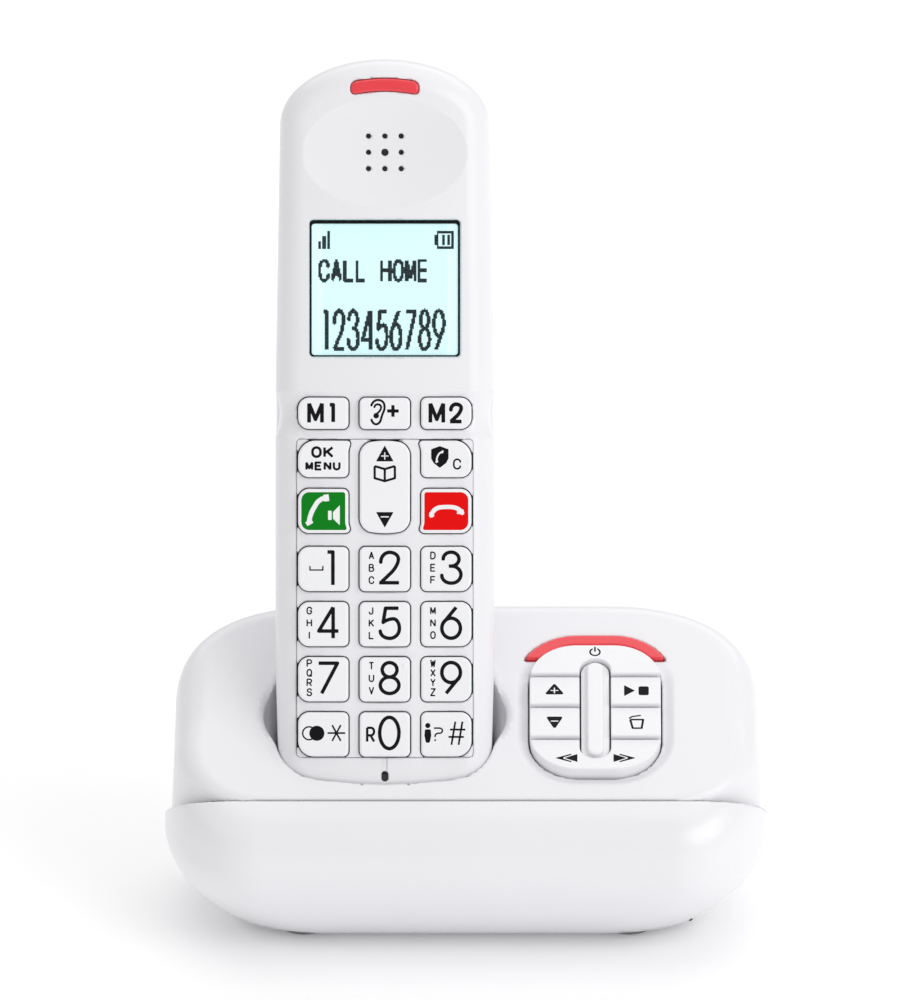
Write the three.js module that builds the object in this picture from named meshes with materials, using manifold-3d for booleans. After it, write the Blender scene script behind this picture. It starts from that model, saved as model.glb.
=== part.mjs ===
// Cordless telephone: a handset that stands in a charging base with an answering machine.
// Millimetres, +Z up, -Y towards the user. The origin is the middle of the bounding box's underside.
import * as THREE from "three";
import { mergeVertices } from "three/addons/utils/BufferGeometryUtils.js";
import Module from "manifold-3d";

const wasm = await Module();
wasm.setup();
const radians = THREE.MathUtils.degToRad;

// ---------------------------------------------------------------- driving dimensions
const GAP = 0.3; // running gap between neighbouring pieces

// Base. d is the distance behind the base's foremost point.
const BASE_DEPTH = 84;
const BASE_CENTRE_D = 29; // where the outline is widest
const FRONT_CORNER = 22; // how far the outline's front corners reach in from the sides
const REAR_CORNER = { x: 33, d: 45 }; // the rear corners reach in by x and start at d
const LIP = { d: 9, z: 39 }; // front edge of the top cover
const PARTING_SLOPE = 0.57; // the top cover's lower edge falls this much per mm towards the rear
const REAR_PARTING_Z = 15;
const PANEL_TILT = 28; // degrees, slope of the top face
const BASE_WALL = 2.2;
const UNDERSIDE_Z = 1.5; // the feet stand proud of the shell by this much
const FOOT = { front: { x: 38, d: 26 }, rear: { x: 27, d: 64 }, radius: 5, height: 2.4 };

// Handset. Its own frame: x right, y from front face to back, z from bottom end to top end.
const HANDSET_LEAN = 20; // degrees from upright
const HANDSET_AT = { x: -19, d: 12.5, z: 36.5 }; // bottom end of the front face, standing in the cradle
const HANDSET_LENGTH = 173.2;
const HALF_WIDTH = 25.5;
const THICKNESS = 27;
const SHELL_WALL = 2;
const SHELL_PARTING_Y = 15;
const FACE_CROWN = 0.0038; // the face falls away as x squared times this
const BELT = { z: 90.6, half: 5.4, depth: 1.2 }; // concave band that holds the memory keys
const TOP_DOME = 15; // length of the elliptical top end
const DOOR = { half: 19, low: 48.3, high: 108, skin: 1.6, travel: 8 };
const BAY = { half: 12.7, low: 51, high: 103, floor: 13.2, wall: 1.4 };
const CRADLE_GAP = 0.8;

// Handset keys
const COLUMN = 14.3;
const KEY = { width: 11.7, proud: 1.2, foot: 4, bevel: 0.6, gap: 0.25 };
const FRAME = { half: 21, low: 11, high: 85, thick: 2 };
const MAT = { top: 5, thick: 1 };
const BOARD = { top: 6.3, thick: 1.4 };

// Control island on the base's top face, in the frame of that face: x right, y up the slope, z outwards.
const ISLAND = { x: 30, d: 32.9, half: 15.3, length: 38.1, corner: 11, proud: 2, foot: 2.5 };
const RIB = { half: 3.3, low: -15.2, high: 14.2, ridgeLow: -14.6, ridgeHigh: 13 };
const ROWS = [9.6, 0.35, -9.25]; // the three gaps between the rows of control keys
const ROW_GAP = 0.5;
const KEY_FALL = 5.4; // degrees, each control key's top falls away from its lower edge

const tanPanel = Math.tan(radians(PANEL_TILT));
const yOf = (d) => d - BASE_DEPTH / 2;

// ---------------------------------------------------------------- solids and shapes
const identity = new THREE.Matrix4();
const at = (x, y, z) => new THREE.Matrix4().makeTranslation(x, y, z);

function solid(geometry, matrix = identity) {
  const source = geometry.index ? geometry.toNonIndexed() : geometry.clone();
  const bare = new THREE.BufferGeometry();
  bare.setAttribute("position", source.getAttribute("position"));
  bare.applyMatrix4(matrix);
  const merged = mergeVertices(bare, 1e-4);
  const vertProperties = merged.attributes.position.array;
  const triVerts = new Uint32Array(merged.index.array);
  return new wasm.Manifold(new wasm.Mesh({ numProp: 3, vertProperties, triVerts }));
}

function geometryOf(body) {
  const mesh = body.getMesh();
  const corners = new Float32Array(mesh.numVert * 3);
  for (let i = 0; i < mesh.numVert; i++) {
    corners.set(mesh.vertProperties.subarray(i * mesh.numProp, i * mesh.numProp + 3), i * 3);
  }
  const geometry = new THREE.BufferGeometry();
  geometry.setAttribute("position", new THREE.BufferAttribute(corners, 3));
  geometry.setIndex(new THREE.BufferAttribute(new Uint32Array(mesh.triVerts), 1));
  return geometry;
}

const join = (...bodies) => bodies.reduce((all, next) => all.add(next));
const cut = (body, ...tools) => tools.reduce((left, tool) => left.subtract(tool), body);
const common = (...bodies) => bodies.reduce((all, next) => all.intersect(next));

// A box given by its low and high corners.
function box(low, high, matrix = identity) {
  const size = high.map((value, axis) => value - low[axis]);
  const centre = high.map((value, axis) => (value + low[axis]) / 2);
  return solid(new THREE.BoxGeometry(...size), matrix.clone().multiply(at(...centre)));
}

// A cylinder whose axis runs along y, from y = low to y = high.
function pinY(radius, low, high, x, z, sides = 12) {
  const length = high - low;
  return solid(new THREE.CylinderGeometry(radius, radius, length, sides), at(x, (low + high) / 2, z));
}

// The same along z.
function pinZ(radius, low, high, x, y, sides = 16) {
  const upright = new THREE.CylinderGeometry(radius, radius, high - low, sides).rotateX(Math.PI / 2);
  return solid(upright, at(x, y, (low + high) / 2));
}

// A closed skin over rings of matching points, from the first ring to the last, closed by flat fans.
function loft(rings) {
  const count = rings[0].length;
  const corners = [];
  const face = (a, b, c) => corners.push(...a.toArray(), ...b.toArray(), ...c.toArray());
  const middle = (ring) =>
    ring.reduce((sum, p) => sum.add(p), new THREE.Vector3()).divideScalar(ring.length);
  const first = rings[0];
  const last = rings[rings.length - 1];
  for (let i = 0; i < count; i++) {
    const next = (i + 1) % count;
    face(middle(first), first[next], first[i]);
    for (let k = 0; k + 1 < rings.length; k++) {
      face(rings[k][i], rings[k][next], rings[k + 1][next]);
      face(rings[k][i], rings[k + 1][next], rings[k + 1][i]);
    }
    face(middle(last), last[i], last[next]);
  }
  const geometry = new THREE.BufferGeometry();
  geometry.setAttribute("position", new THREE.Float32BufferAttribute(corners, 3));
  return solid(geometry);
}

// A rectangle with elliptical corners, counter-clockwise from the low right corner.
// corner(i) gives [rx, ry] for i = 0 low right, 1 high right, 2 high left, 3 low left.
function roundedLoop(left, right, low, high, corner, steps) {
  const points = [];
  for (let i = 0; i < 4; i++) {
    const [rx, ry] = corner(i);
    const cx = i < 2 ? right - rx : left + rx;
    const cy = i === 0 || i === 3 ? low + ry : high - ry;
    for (let k = 0; k <= steps; k++) {
      const angle = (i - 1 + k / steps) * (Math.PI / 2);
      points.push(new THREE.Vector2(cx + rx * Math.cos(angle), cy + ry * Math.sin(angle)));
    }
  }
  return points;
}

// Loops in the x-z plane of the handset and in the x-y plane of the panel become prisms.
function prism(loop, low, high) {
  const shape = new THREE.Shape(loop);
  const body = new THREE.ExtrudeGeometry(shape, { depth: high - low, bevelEnabled: false, curveSegments: 6 });
  return solid(body, at(0, 0, low));
}

function prismY(loop, low, high) {
  const turned = new THREE.Matrix4().makeRotationX(Math.PI / 2).premultiply(at(0, high, 0));
  const shape = new THREE.Shape(loop);
  const body = new THREE.ExtrudeGeometry(shape, { depth: high - low, bevelEnabled: false, curveSegments: 6 });
  return solid(body, turned);
}

// A prism across the base, whose section is given as [d, z] pairs.
function slab(section, half = 90) {
  const shape = new THREE.Shape(section.map(([d, z]) => new THREE.Vector2(yOf(d), z)));
  const body = new THREE.ExtrudeGeometry(shape, { depth: 2 * half, bevelEnabled: false });
  const across = new THREE.Matrix4().makeBasis(
    new THREE.Vector3(0, 1, 0),
    new THREE.Vector3(0, 0, 1),
    new THREE.Vector3(1, 0, 0),
  );
  return solid(body, across.premultiply(at(-half, 0, 0)));
}

// ---------------------------------------------------------------- nodes
const model = new THREE.Group();
const finish = (color, roughness, metalness = 0) =>
  new THREE.MeshStandardMaterial({ color, roughness, metalness });
const WHITE = finish(0xf1f0f4, 0.3);
const KEY_WHITE = finish(0xf5f4f8, 0.35);
const RED_LENS = finish(0xf8525c, 0.2);
const RED_KEY = finish(0xe81010, 0.35);
const GREEN_KEY = finish(0x0d8a18, 0.35);
const CLEAR = finish(0x10161a, 0.05);
const SCREEN = finish(0xdcfdff, 0.3);
const SILICONE = finish(0x626266, 0.7);
const BOARD_GREEN = finish(0x2f6b46, 0.5);
const METAL = finish(0xc9a961, 0.25, 1);
const STEEL = finish(0xb8bcc0, 0.3, 1);
const BLACK = finish(0x1c1c1e, 0.5);
const RUBBER = finish(0x8e8e92, 0.85);

function add(group, name, material, body) {
  const mesh = new THREE.Mesh(geometryOf(body), material);
  mesh.name = name;
  group.add(mesh);
  return mesh;
}

// ---------------------------------------------------------------- base: outer forms
const base = new THREE.Group();
model.add(base);

// One level of the bowl (fascia and bottom cover), drawn in by inset.
function bowlRing(z, inset, steps) {
  const low = Math.max(0, (25 - z) / 23.5);
  const half = 70.4 - 17.8 * low ** 1.9 - inset;
  const belowBulge = 18 * Math.max(0, (24 - z) / 22.5) ** 1.9;
  const aboveBulge = 9 * Math.max(0, (z - 24) / 15) ** 3;
  const front = belowBulge + aboveBulge + inset;
  const rear = BASE_DEPTH - 8 * Math.max(0, (14 - z) / 12.5) ** 2 - inset;
  return baseRing(half, front, rear, z, steps);
}

function baseRing(half, front, rear, z, steps) {
  const corner = (i) =>
    i === 0 || i === 3 ? [FRONT_CORNER, BASE_CENTRE_D - front] : [REAR_CORNER.x, rear - REAR_CORNER.d];
  return roundedLoop(-half, half, front, rear, corner, steps).map(
    (p) => new THREE.Vector3(p.x, yOf(p.y), z),
  );
}

function bowl(inset, levels, steps) {
  return loft(levels.map((z) => bowlRing(z, inset, steps)));
}

// The top cover's outer form: a leaning wall, a fillet and the tilted panel.
const panelZ = (d) => LIP.z + (d - LIP.d) * tanPanel;

function wallRing(z, inset, steps) {
  const half = 68.9 - 0.04 * (z - 25) - inset;
  const rear = 82.8 - 0.33 * (z - REAR_PARTING_Z) - inset;
  return baseRing(half, LIP.d + inset, rear, z, steps);
}

function dome(inset, floorZ, steps, filletSteps) {
  const drop = inset / Math.cos(radians(PANEL_TILT));
  const outline = wallRing(0, inset, steps).map((start, i) => {
    let edge = start;
    for (let k = 0; k < 6; k++) {
      edge = wallRing(panelZ(edge.y + BASE_DEPTH / 2) - drop, inset, steps)[i];
    }
    return edge;
  });
  const foot = wallRing(floorZ, inset, steps);
  const centre = new THREE.Vector3(0, yOf(38), panelZ(38) - drop);
  const rings = [foot];
  for (let k = 0; k <= filletSteps; k++) {
    const turn = (k / filletSteps) * (Math.PI / 2);
    rings.push(
      outline.map((edge, i) => {
        const rearward = THREE.MathUtils.smoothstep(edge.y + BASE_DEPTH / 2, LIP.d, 34);
        const reach = Math.max(0.8, 1.5 + 6.5 * rearward - inset);
        const down = foot[i].clone().sub(edge).normalize().multiplyScalar(reach);
        const inward = centre.clone().sub(edge).normalize().multiplyScalar(reach);
        return edge
          .clone()
          .addScaledVector(down, 1 - Math.sin(turn))
          .addScaledVector(inward, 1 - Math.cos(turn));
      }),
    );
  }
  return loft(rings);
}

// Frames of the tilted panel and of the handset standing in the cradle.
const panelFrame = new THREE.Matrix4()
  .makeRotationX(radians(PANEL_TILT))
  .premultiply(at(ISLAND.x, yOf(ISLAND.d), panelZ(ISLAND.d)));
const handsetFrame = new THREE.Matrix4()
  .makeRotationX(-radians(HANDSET_LEAN))
  .premultiply(at(HANDSET_AT.x, yOf(HANDSET_AT.d), HANDSET_AT.z));

// ---------------------------------------------------------------- handset: outer form
const ellipse = (t) => Math.sqrt(Math.max(0, 1 - t * t));

// The cross-section at height z, drawn in by inset. slim draws the back in further.
function section(z, inset, slim = 0, length = HANDSET_LENGTH) {
  const dome = ellipse(Math.max(0, (z - (HANDSET_LENGTH - TOP_DOME)) / TOP_DOME));
  const heel = ellipse(Math.max(0, (9 - z) / 9));
  const taper = 1.1 * THREE.MathUtils.clamp((z - 95) / 64, 0, 1) + 0.9 * Math.max(0, (35 - z) / 35);
  const full = (HALF_WIDTH - taper) * dome - 9 * (1 - heel);
  const scoop = BELT.depth * Math.max(0, 1 - ((z - BELT.z) / BELT.half) ** 2);
  const wide = Math.max(full - inset, 1.2);
  const front = scoop + 8 * (1 - dome) + 4 * (1 - heel) + inset;
  const back = THICKNESS - slim - 12 * (1 - dome) - 6 * (1 - heel) - inset;
  const narrow = Math.max(full - scoop - inset, 1.2);
  return { narrow, wide, front, back };
}

// Points of a cross-section: front face left to right with its crown, then round the back.
function sectionRing(z, inset, slim = 0, steps = 4) {
  const { narrow, wide, front, back } = section(z, inset, slim);
  const points = [];
  const push = (x, y) => points.push(new THREE.Vector3(x, y, z));
  const fx = Math.min(9, narrow * 0.45);
  const fy = Math.min(5.5, (back - front) * 0.35);
  const bx = Math.min(12, wide * 0.5);
  const by = Math.min(9, (back - front) * 0.45);
  const flat = narrow - fx;
  const crown = (x) => FACE_CROWN * x * x;
  for (const share of [-1, -0.5, 0, 0.5, 1]) push(share * flat, front + crown(share * flat));
  for (let k = 1; k <= steps; k++) {
    const angle = (k / steps) * (Math.PI / 2);
    const lift = crown(flat) * Math.cos(angle);
    push(flat + fx * Math.sin(angle), front + fy - fy * Math.cos(angle) + lift);
  }
  for (let k = 0; k <= steps; k++) {
    const angle = (k / steps) * (Math.PI / 2);
    push(wide - bx + bx * Math.cos(angle), back - by + by * Math.sin(angle));
  }
  for (let k = steps; k >= 0; k--) {
    const angle = (k / steps) * (Math.PI / 2);
    push(-(wide - bx + bx * Math.cos(angle)), back - by + by * Math.sin(angle));
  }
  for (let k = steps; k >= 1; k--) {
    const angle = (k / steps) * (Math.PI / 2);
    const lift = crown(flat) * Math.cos(angle);
    push(-(flat + fx * Math.sin(angle)), front + fy - fy * Math.cos(angle) + lift);
  }
  return points;
}

const BELT_LEVELS = [-1, -0.6, 0, 0.6, 1].map((share) => BELT.z + share * BELT.half);
const TOP_LEVELS = [158.5, 163.5, 167.5, 170.5, 172.3, HANDSET_LENGTH - 0.2];
function handsetForm(inset, levels, slim = 0, steps = 4) {
  return loft(levels.map((z) => sectionRing(z, inset, slim, steps)));
}

const OUTER_LEVELS = [0, 1, 3.5, 9, 35, ...BELT_LEVELS, ...TOP_LEVELS];
const outer = handsetForm(0, OUTER_LEVELS);
const slimmed = handsetForm(0, OUTER_LEVELS, DOOR.skin + GAP);
const HOLLOW_LEVELS = [2.2, 9, 35, ...BELT_LEVELS, 159, 166, HANDSET_LENGTH - 3.5];
const cavity = handsetForm(SHELL_WALL, HOLLOW_LEVELS, DOOR.skin, 3);
const faceSkin = (low, high) => cut(handsetForm(low, OUTER_LEVELS), handsetForm(high, OUTER_LEVELS));

// ---------------------------------------------------------------- base: shells
const BOWL_LEVELS = [UNDERSIDE_Z, 4.5, 9, 14.5, 20, 26, 31, 34.5, 37, 38.5, 40];
const bowlOuter = bowl(0, BOWL_LEVELS, 6);
const INNER_LEVELS = [9, 14.5, 20, 26, 31, 34.5, 37, 38.5, 41];
const bowlInner = bowl(BASE_WALL, [UNDERSIDE_Z + BASE_WALL, ...INNER_LEVELS], 5);
const bowlThrough = bowl(BASE_WALL, [UNDERSIDE_Z - 0.5, 4.5, ...INNER_LEVELS], 5);

// The line between fascia and top cover, and the one between fascia and bottom cover.
const partingEnd = LIP.d + (LIP.z - REAR_PARTING_Z) / PARTING_SLOPE;
const lipLine = (lift) => [
  [-10, LIP.z + 19 * PARTING_SLOPE + lift],
  [partingEnd, REAR_PARTING_Z + lift],
];
const fasciaFoot = [
  [-10, -3.3],
  [partingEnd - 3, 11],
  [partingEnd - 1, REAR_PARTING_Z - 1],
];
const aboveParting = slab([...lipLine(GAP / 2), [95, REAR_PARTING_Z + GAP / 2], [95, 90], [-10, 90]]);
const fasciaBand = slab([...fasciaFoot, ...lipLine(-GAP / 2).reverse()]);
const lowerBand = slab([
  [-10, -4],
  [95, -4],
  [95, REAR_PARTING_Z - GAP / 2],
  [partingEnd + 0.4, REAR_PARTING_Z - GAP / 2],
  ...fasciaFoot.map(([d, z]) => [d + GAP, z - GAP]).reverse(),
]);

// Cradle: a cup that follows the handset's section, with a scoop at each side for the thumb.
function cupLoop(offset) {
  const { front, back } = section(40, -offset, 0);
  const half = HALF_WIDTH + offset;
  const corner = (i) => (i === 0 || i === 3 ? [9.5, 6] : [12, 9]);
  return roundedLoop(-half, half, front, back, corner, 4);
}
const cradleHole = solid(
  new THREE.ExtrudeGeometry(new THREE.Shape(cupLoop(CRADLE_GAP)), { depth: 70, bevelEnabled: false }),
  handsetFrame.clone().multiply(at(0, 0, -CRADLE_GAP)),
);
const cradleCup = solid(
  new THREE.ExtrudeGeometry(new THREE.Shape(cupLoop(CRADLE_GAP + 1.6)), { depth: 60, bevelEnabled: false }),
  handsetFrame.clone().multiply(at(0, 0, -CRADLE_GAP - 2)),
);
const SCOOP = { wide: 5.2, deep: 9, tall: 8, y: 7, z: 11, wall: 1.6 };
const scoopForms = (grow) =>
  [-1, 1].map((side) => {
    const form = new THREE.SphereGeometry(1, 12, 8);
    form.scale(SCOOP.wide + grow, SCOOP.deep + grow, SCOOP.tall + grow);
    return solid(form, handsetFrame.clone().multiply(at(side * (HALF_WIDTH - 1), SCOOP.y, SCOOP.z)));
  });
const thumbScoops = scoopForms(0);
const scoopWalls = scoopForms(SCOOP.wall);
const CONTACT = { x: 9, y: 10, half: 1.6 };
const contactHoles = [-1, 1].map((side) =>
  box(
    [side * CONTACT.x - 2, CONTACT.y - 2.4, -6],
    [side * CONTACT.x + 2, CONTACT.y + 2.4, 0],
    handsetFrame,
  ),
);

// Control island, light bar and the moat round them.
function islandLoop(grow, steps = 5) {
  const half = ISLAND.half + grow;
  const reach = ISLAND.length / 2 + grow;
  const corner = () => [ISLAND.corner + grow, ISLAND.corner + grow];
  return roundedLoop(-half, half, -reach, reach, corner, steps);
}
const LIGHT_BAR = { inner: 0.4, width: 3.1, low: 15.4 };
const lightBarLoop = (grow) =>
  common(
    cut(
      prism(islandLoop(LIGHT_BAR.inner + LIGHT_BAR.width + grow), -6, 8),
      prism(islandLoop(LIGHT_BAR.inner - grow), -7, 9),
    ),
    box([-30, LIGHT_BAR.low - grow, -7], [30, 40, 9]),
  );
const inPanel = (body) => body.transform(panelFrame.toArray());
const inHandset = (body) => body.transform(handsetFrame.toArray());

const islandHole = prism(islandLoop(GAP), -8, 8);
const moat = cut(
  prism(islandLoop(2.2), -0.8, 8),
  box([-30, LIGHT_BAR.low, -2], [30, 40, 9]),
);

// Sockets in the rear wall, half in each cover.
const JACK = {
  power: { x: -20, half: 5.2, low: 7.5, high: 17.3, front: 70, rear: 82 },
  line: { x: -2, half: 6.4, low: 7.5, high: 18.7, front: 68.6, rear: 82 },
};
const socketWindows = Object.values(JACK).map(({ x, half, low, high }) =>
  box([x - half - GAP, yOf(72), low - GAP], [x + half + GAP, yOf(90), high + GAP]),
);

const coverOuter = dome(0, 8, 6, 3);
const coverInner = dome(BASE_WALL, 7, 5, 2);
const coverShell = cut(coverOuter, coverInner);
const bowlRoom = bowl(BASE_WALL + GAP, [4.5, ...INNER_LEVELS], 5);
const cup = common(join(cradleCup, ...scoopWalls), coverOuter, join(aboveParting, bowlRoom));
const coverBody = join(common(coverShell, aboveParting), cup);
add(
  base,
  "base_top_cover",
  WHITE,
  cut(
    coverBody,
    cradleHole,
    ...thumbScoops,
    ...contactHoles,
    ...socketWindows,
    inPanel(islandHole),
    inPanel(moat),
    inPanel(lightBarLoop(GAP)),
  ),
);

add(base, "base_front_fascia", WHITE, cut(common(bowlOuter, fasciaBand), bowlThrough));

// Bottom cover with seats for the feet, posts for the board, sockets and the speaker grille.
const SPEAKER = { x: 32, d: 44, radius: 17, low: 4.2, high: 11 };
const feetAt = ["front", "rear"].flatMap((end) =>
  [-1, 1].map((side) => ({ end, x: side * FOOT[end].x, d: FOOT[end].d })),
);
const footSeats = feetAt.map(({ x, d }) => pinZ(FOOT.radius + GAP, 0, 2.7, x, yOf(d)));
const BASE_BOARD = { left: -44, right: 12, front: 34, rear: 62, z: 5.6, thick: 1.6 };
const boardPosts = [-38, 6].flatMap((x) =>
  [38, 58].map((d) => pinZ(2.5, UNDERSIDE_Z + 1, BASE_BOARD.z - GAP, x, yOf(d), 8)),
);
const grille = [-8, -4, 0, 4, 8].map((x) => {
  const reach = 12 - Math.abs(x) / 2;
  return box(
    [SPEAKER.x + x - 0.8, yOf(SPEAKER.d) - reach, 0],
    [SPEAKER.x + x + 0.8, yOf(SPEAKER.d) + reach, 4.1],
  );
});
const voiceHole = solid(
  new THREE.CylinderGeometry(0.5, 0.5, 12, 8).rotateZ(-radians(55)),
  at(50, yOf(31), 3.4),
);
add(
  base,
  "base_bottom_cover",
  WHITE,
  cut(
    join(
      cut(common(bowlOuter, lowerBand), bowlInner),
      ...boardPosts,
      cut(
        pinZ(SPEAKER.radius + 1.8, UNDERSIDE_Z + 1, 7.5, SPEAKER.x, yOf(SPEAKER.d), 24),
        pinZ(SPEAKER.radius + GAP, UNDERSIDE_Z, 9, SPEAKER.x, yOf(SPEAKER.d), 24),
      ),
    ),
    ...footSeats,
    ...grille,
    ...socketWindows,
    voiceHole,
  ),
);

feetAt.forEach(({ end, x, d }) => {
  const side = x < 0 ? "left" : "right";
  const profile = [
    [0, 0],
    [FOOT.radius - 0.5, 0],
    [FOOT.radius, 0.5],
    [FOOT.radius, FOOT.height],
    [0, FOOT.height],
  ].map(([r, z]) => new THREE.Vector2(r, z));
  const turned = new THREE.LatheGeometry(profile, 16).rotateX(Math.PI / 2);
  add(base, `foot_${end}_${side}`, RUBBER, solid(turned, at(x, yOf(d), 0)));
});

// ---------------------------------------------------------------- base: inside and sockets
add(
  base,
  "base_board",
  BOARD_GREEN,
  join(
    box(
      [BASE_BOARD.left, yOf(BASE_BOARD.front), BASE_BOARD.z],
      [BASE_BOARD.right, yOf(BASE_BOARD.rear), BASE_BOARD.z + BASE_BOARD.thick],
    ),
    box([-27, yOf(60), BASE_BOARD.z], [6, yOf(76), BASE_BOARD.z + BASE_BOARD.thick]),
    box([-8, yOf(38), BASE_BOARD.z], [4, yOf(50), BASE_BOARD.z + 3.2]),
    box([-36, yOf(40), BASE_BOARD.z], [-20, yOf(52), BASE_BOARD.z + 4]),
  ),
);
// A modular socket: a block with a hollow for the plug and a groove for the plug's latch.
function socketBlock({ x, half, low, high, front, rear }) {
  const hollowFront = front + 2.4;
  return cut(
    box([x - half, yOf(front), low], [x + half, yOf(rear), high]),
    box([x - half + 1.5, yOf(hollowFront), low + 2.4], [x + half - 1.5, yOf(90), high - 1.6]),
    box([x - 2, yOf(hollowFront), low + 1], [x + 2, yOf(90), low + 3]),
  );
}
add(base, "power_socket", BLACK, socketBlock(JACK.power));
add(base, "line_socket", BLACK, socketBlock(JACK.line));

const speakerProfile = [
  [0, SPEAKER.low],
  [SPEAKER.radius, SPEAKER.low],
  [SPEAKER.radius, SPEAKER.low + 2],
  [11, SPEAKER.low + 4],
  [9, SPEAKER.low + 4],
  [9, SPEAKER.high],
  [0, SPEAKER.high],
].map(([r, z]) => new THREE.Vector2(r, z));
add(
  base,
  "base_speaker",
  STEEL,
  solid(
    new THREE.LatheGeometry(speakerProfile, 20).rotateX(Math.PI / 2),
    at(SPEAKER.x, yOf(SPEAKER.d), 0),
  ),
);

[-1, 1].forEach((side) => {
  const x = side * CONTACT.x;
  const leaf = join(
    box([x - CONTACT.half, CONTACT.y - 1.6, -5.6], [x + CONTACT.half, CONTACT.y + 1.6, -0.9]),
    box([x - CONTACT.half, CONTACT.y - 0.8, -1.5], [x + CONTACT.half, CONTACT.y + 0.8, -GAP]),
  );
  add(base, `charge_contact_${side < 0 ? "left" : "right"}`, METAL, inHandset(leaf));
});

// ---------------------------------------------------------------- base: controls, in the panel's frame
const panel = new THREE.Group();
panel.applyMatrix4(panelFrame);
base.add(panel);

const islandBody = prism(islandLoop(0), -ISLAND.foot, ISLAND.proud);
const ribLoop = (grow) => {
  const half = RIB.half + grow;
  return roundedLoop(-half, half, RIB.low - grow, RIB.high + grow, () => [half, half], 4);
};
const ribWay = prism(ribLoop(0.35), -8, 8);

// One control key. Like a shingle, its top is highest along its lower edge.
function cell(left, right, low, high) {
  const edge = Math.max(low, -ISLAND.length / 2);
  const fall = new THREE.Matrix4().makeRotationX(-radians(KEY_FALL));
  const above = box([-40, -40, 0], [40, 40, 20], fall.premultiply(at(0, edge, ISLAND.proud)));
  return cut(common(islandBody, box([left, low, -6], [right, high, 6])), ribWay, above);
}
const half = ROW_GAP / 2;
const REACH = 40;
const [topGap, midGap, lowGap] = ROWS;
add(panel, "answer_on_key", KEY_WHITE, cell(-REACH, REACH, topGap + half, REACH));
add(panel, "volume_up_key", KEY_WHITE, cell(-REACH, 0, midGap + half, topGap - half));
add(panel, "play_stop_key", KEY_WHITE, cell(0, REACH, midGap + half, topGap - half));
add(panel, "volume_down_key", KEY_WHITE, cell(-REACH, 0, lowGap + half, midGap - half));
add(panel, "delete_key", KEY_WHITE, cell(0, REACH, lowGap + half, midGap - half));
add(panel, "skip_rocker", KEY_WHITE, cell(-REACH, REACH, -REACH, lowGap - half));

const ribRidge = roundedLoop(-1.9, 1.9, RIB.ridgeLow, RIB.ridgeHigh, () => [1.85, 1.85], 4);
add(
  panel,
  "control_rib",
  KEY_WHITE,
  join(prism(ribLoop(0), -ISLAND.foot - 0.7, 0.4), prism(ribRidge, 0, 2.2)),
);
add(
  panel,
  "base_key_mat",
  SILICONE,
  prism(islandLoop(-0.6), -ISLAND.foot - 2.2, -ISLAND.foot - 1.1),
);
add(
  panel,
  "control_board",
  BOARD_GREEN,
  prism(islandLoop(-0.6, 3), -ISLAND.foot - 4.2, -ISLAND.foot - 2.6),
);
add(
  panel,
  "base_light_bar",
  RED_LENS,
  common(lightBarLoop(0), box([-30, -30, -3.6], [30, 40, 0.5])),
);

// ---------------------------------------------------------------- handset shells
const handset = new THREE.Group();
handset.applyMatrix4(handsetFrame);
model.add(handset);

const WINDOW = { half: 17.5, low: 104.2, high: 136, thick: 1.3 };
const EAR = { z: 151.7, pitch: 3.8, hole: 0.6, middle: 0.8 };
const LIGHT = { half: 7.9, low: 166, high: 168.9, sag: 0.9 };
const MIC = { z: 6.6, half: 0.8, tall: 1.2 };
const PAD = { x: 9, half: 3, front: 7.5, back: 12.5, thick: 1 };
const windowLoop = (grow) =>
  roundedLoop(
    -WINDOW.half - grow,
    WINDOW.half + grow,
    WINDOW.low - grow,
    WINDOW.high + grow,
    () => [1.4, 1.4],
    3,
  );

// The arched light bar in the forehead.
function lightLoop(grow) {
  const points = [];
  for (let k = 0; k <= 8; k++) {
    const x = (LIGHT.half + grow) * (k / 4 - 1);
    points.push(new THREE.Vector2(x, LIGHT.low - grow - LIGHT.sag * (x / LIGHT.half) ** 2));
  }
  for (let k = 8; k >= 0; k--) {
    const x = (LIGHT.half + grow) * (k / 4 - 1);
    const end = k === 0 || k === 8 ? 0.7 : 0;
    points.push(new THREE.Vector2(x, LIGHT.high + grow - end - LIGHT.sag * (x / LIGHT.half) ** 2));
  }
  return points;
}

// Key openings and caps: name, column, low end, high end, corner radii (low right, high right, high left,
// low left), material.
const small = 1.3;
const large = 2.6;
const KEYS = [
  ["memory_1", -1, 87.4, 94.7, small, small, large, large],
  ["volume_boost", 0, 87.4, 94.7, small, small, small, small],
  ["memory_2", 1, 87.4, 94.7, large, large, small, small],
  ["ok_menu", -1, 76.2, 84.7, small, 0.6, 4, large],
  ["clear_block", 1, 76.2, 84.7, large, 4, 0.6, small],
  ["navigation", 0, 63.2, 84.7, 3.4, 3.4, 3.4, 3.4],
  ["talk", -1, 63.2, 73.5, small, small, large, large, GREEN_KEY],
  ["hang_up", 1, 63.2, 73.5, large, large, small, small, RED_KEY],
];
const DIGITS = ["1", "2", "3", "4", "5", "6", "7", "8", "9", "star", "0", "hash"];
const DIGIT_ROW = { low: 49.7, pitch: 12.83, tall: 10.3 };
DIGITS.forEach((label, i) => {
  const column = (i % 3) - 1;
  const row = Math.floor(i / 3);
  const low = DIGIT_ROW.low - DIGIT_ROW.pitch * row;
  const outerLow = row === 3 ? 3.6 : large;
  const right = column > 0;
  const left = column < 0;
  KEYS.push([
    `digit_${label}`,
    column,
    low,
    low + DIGIT_ROW.tall,
    right ? outerLow : small,
    right ? large : small,
    left ? large : small,
    left ? outerLow : small,
  ]);
});

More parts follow.
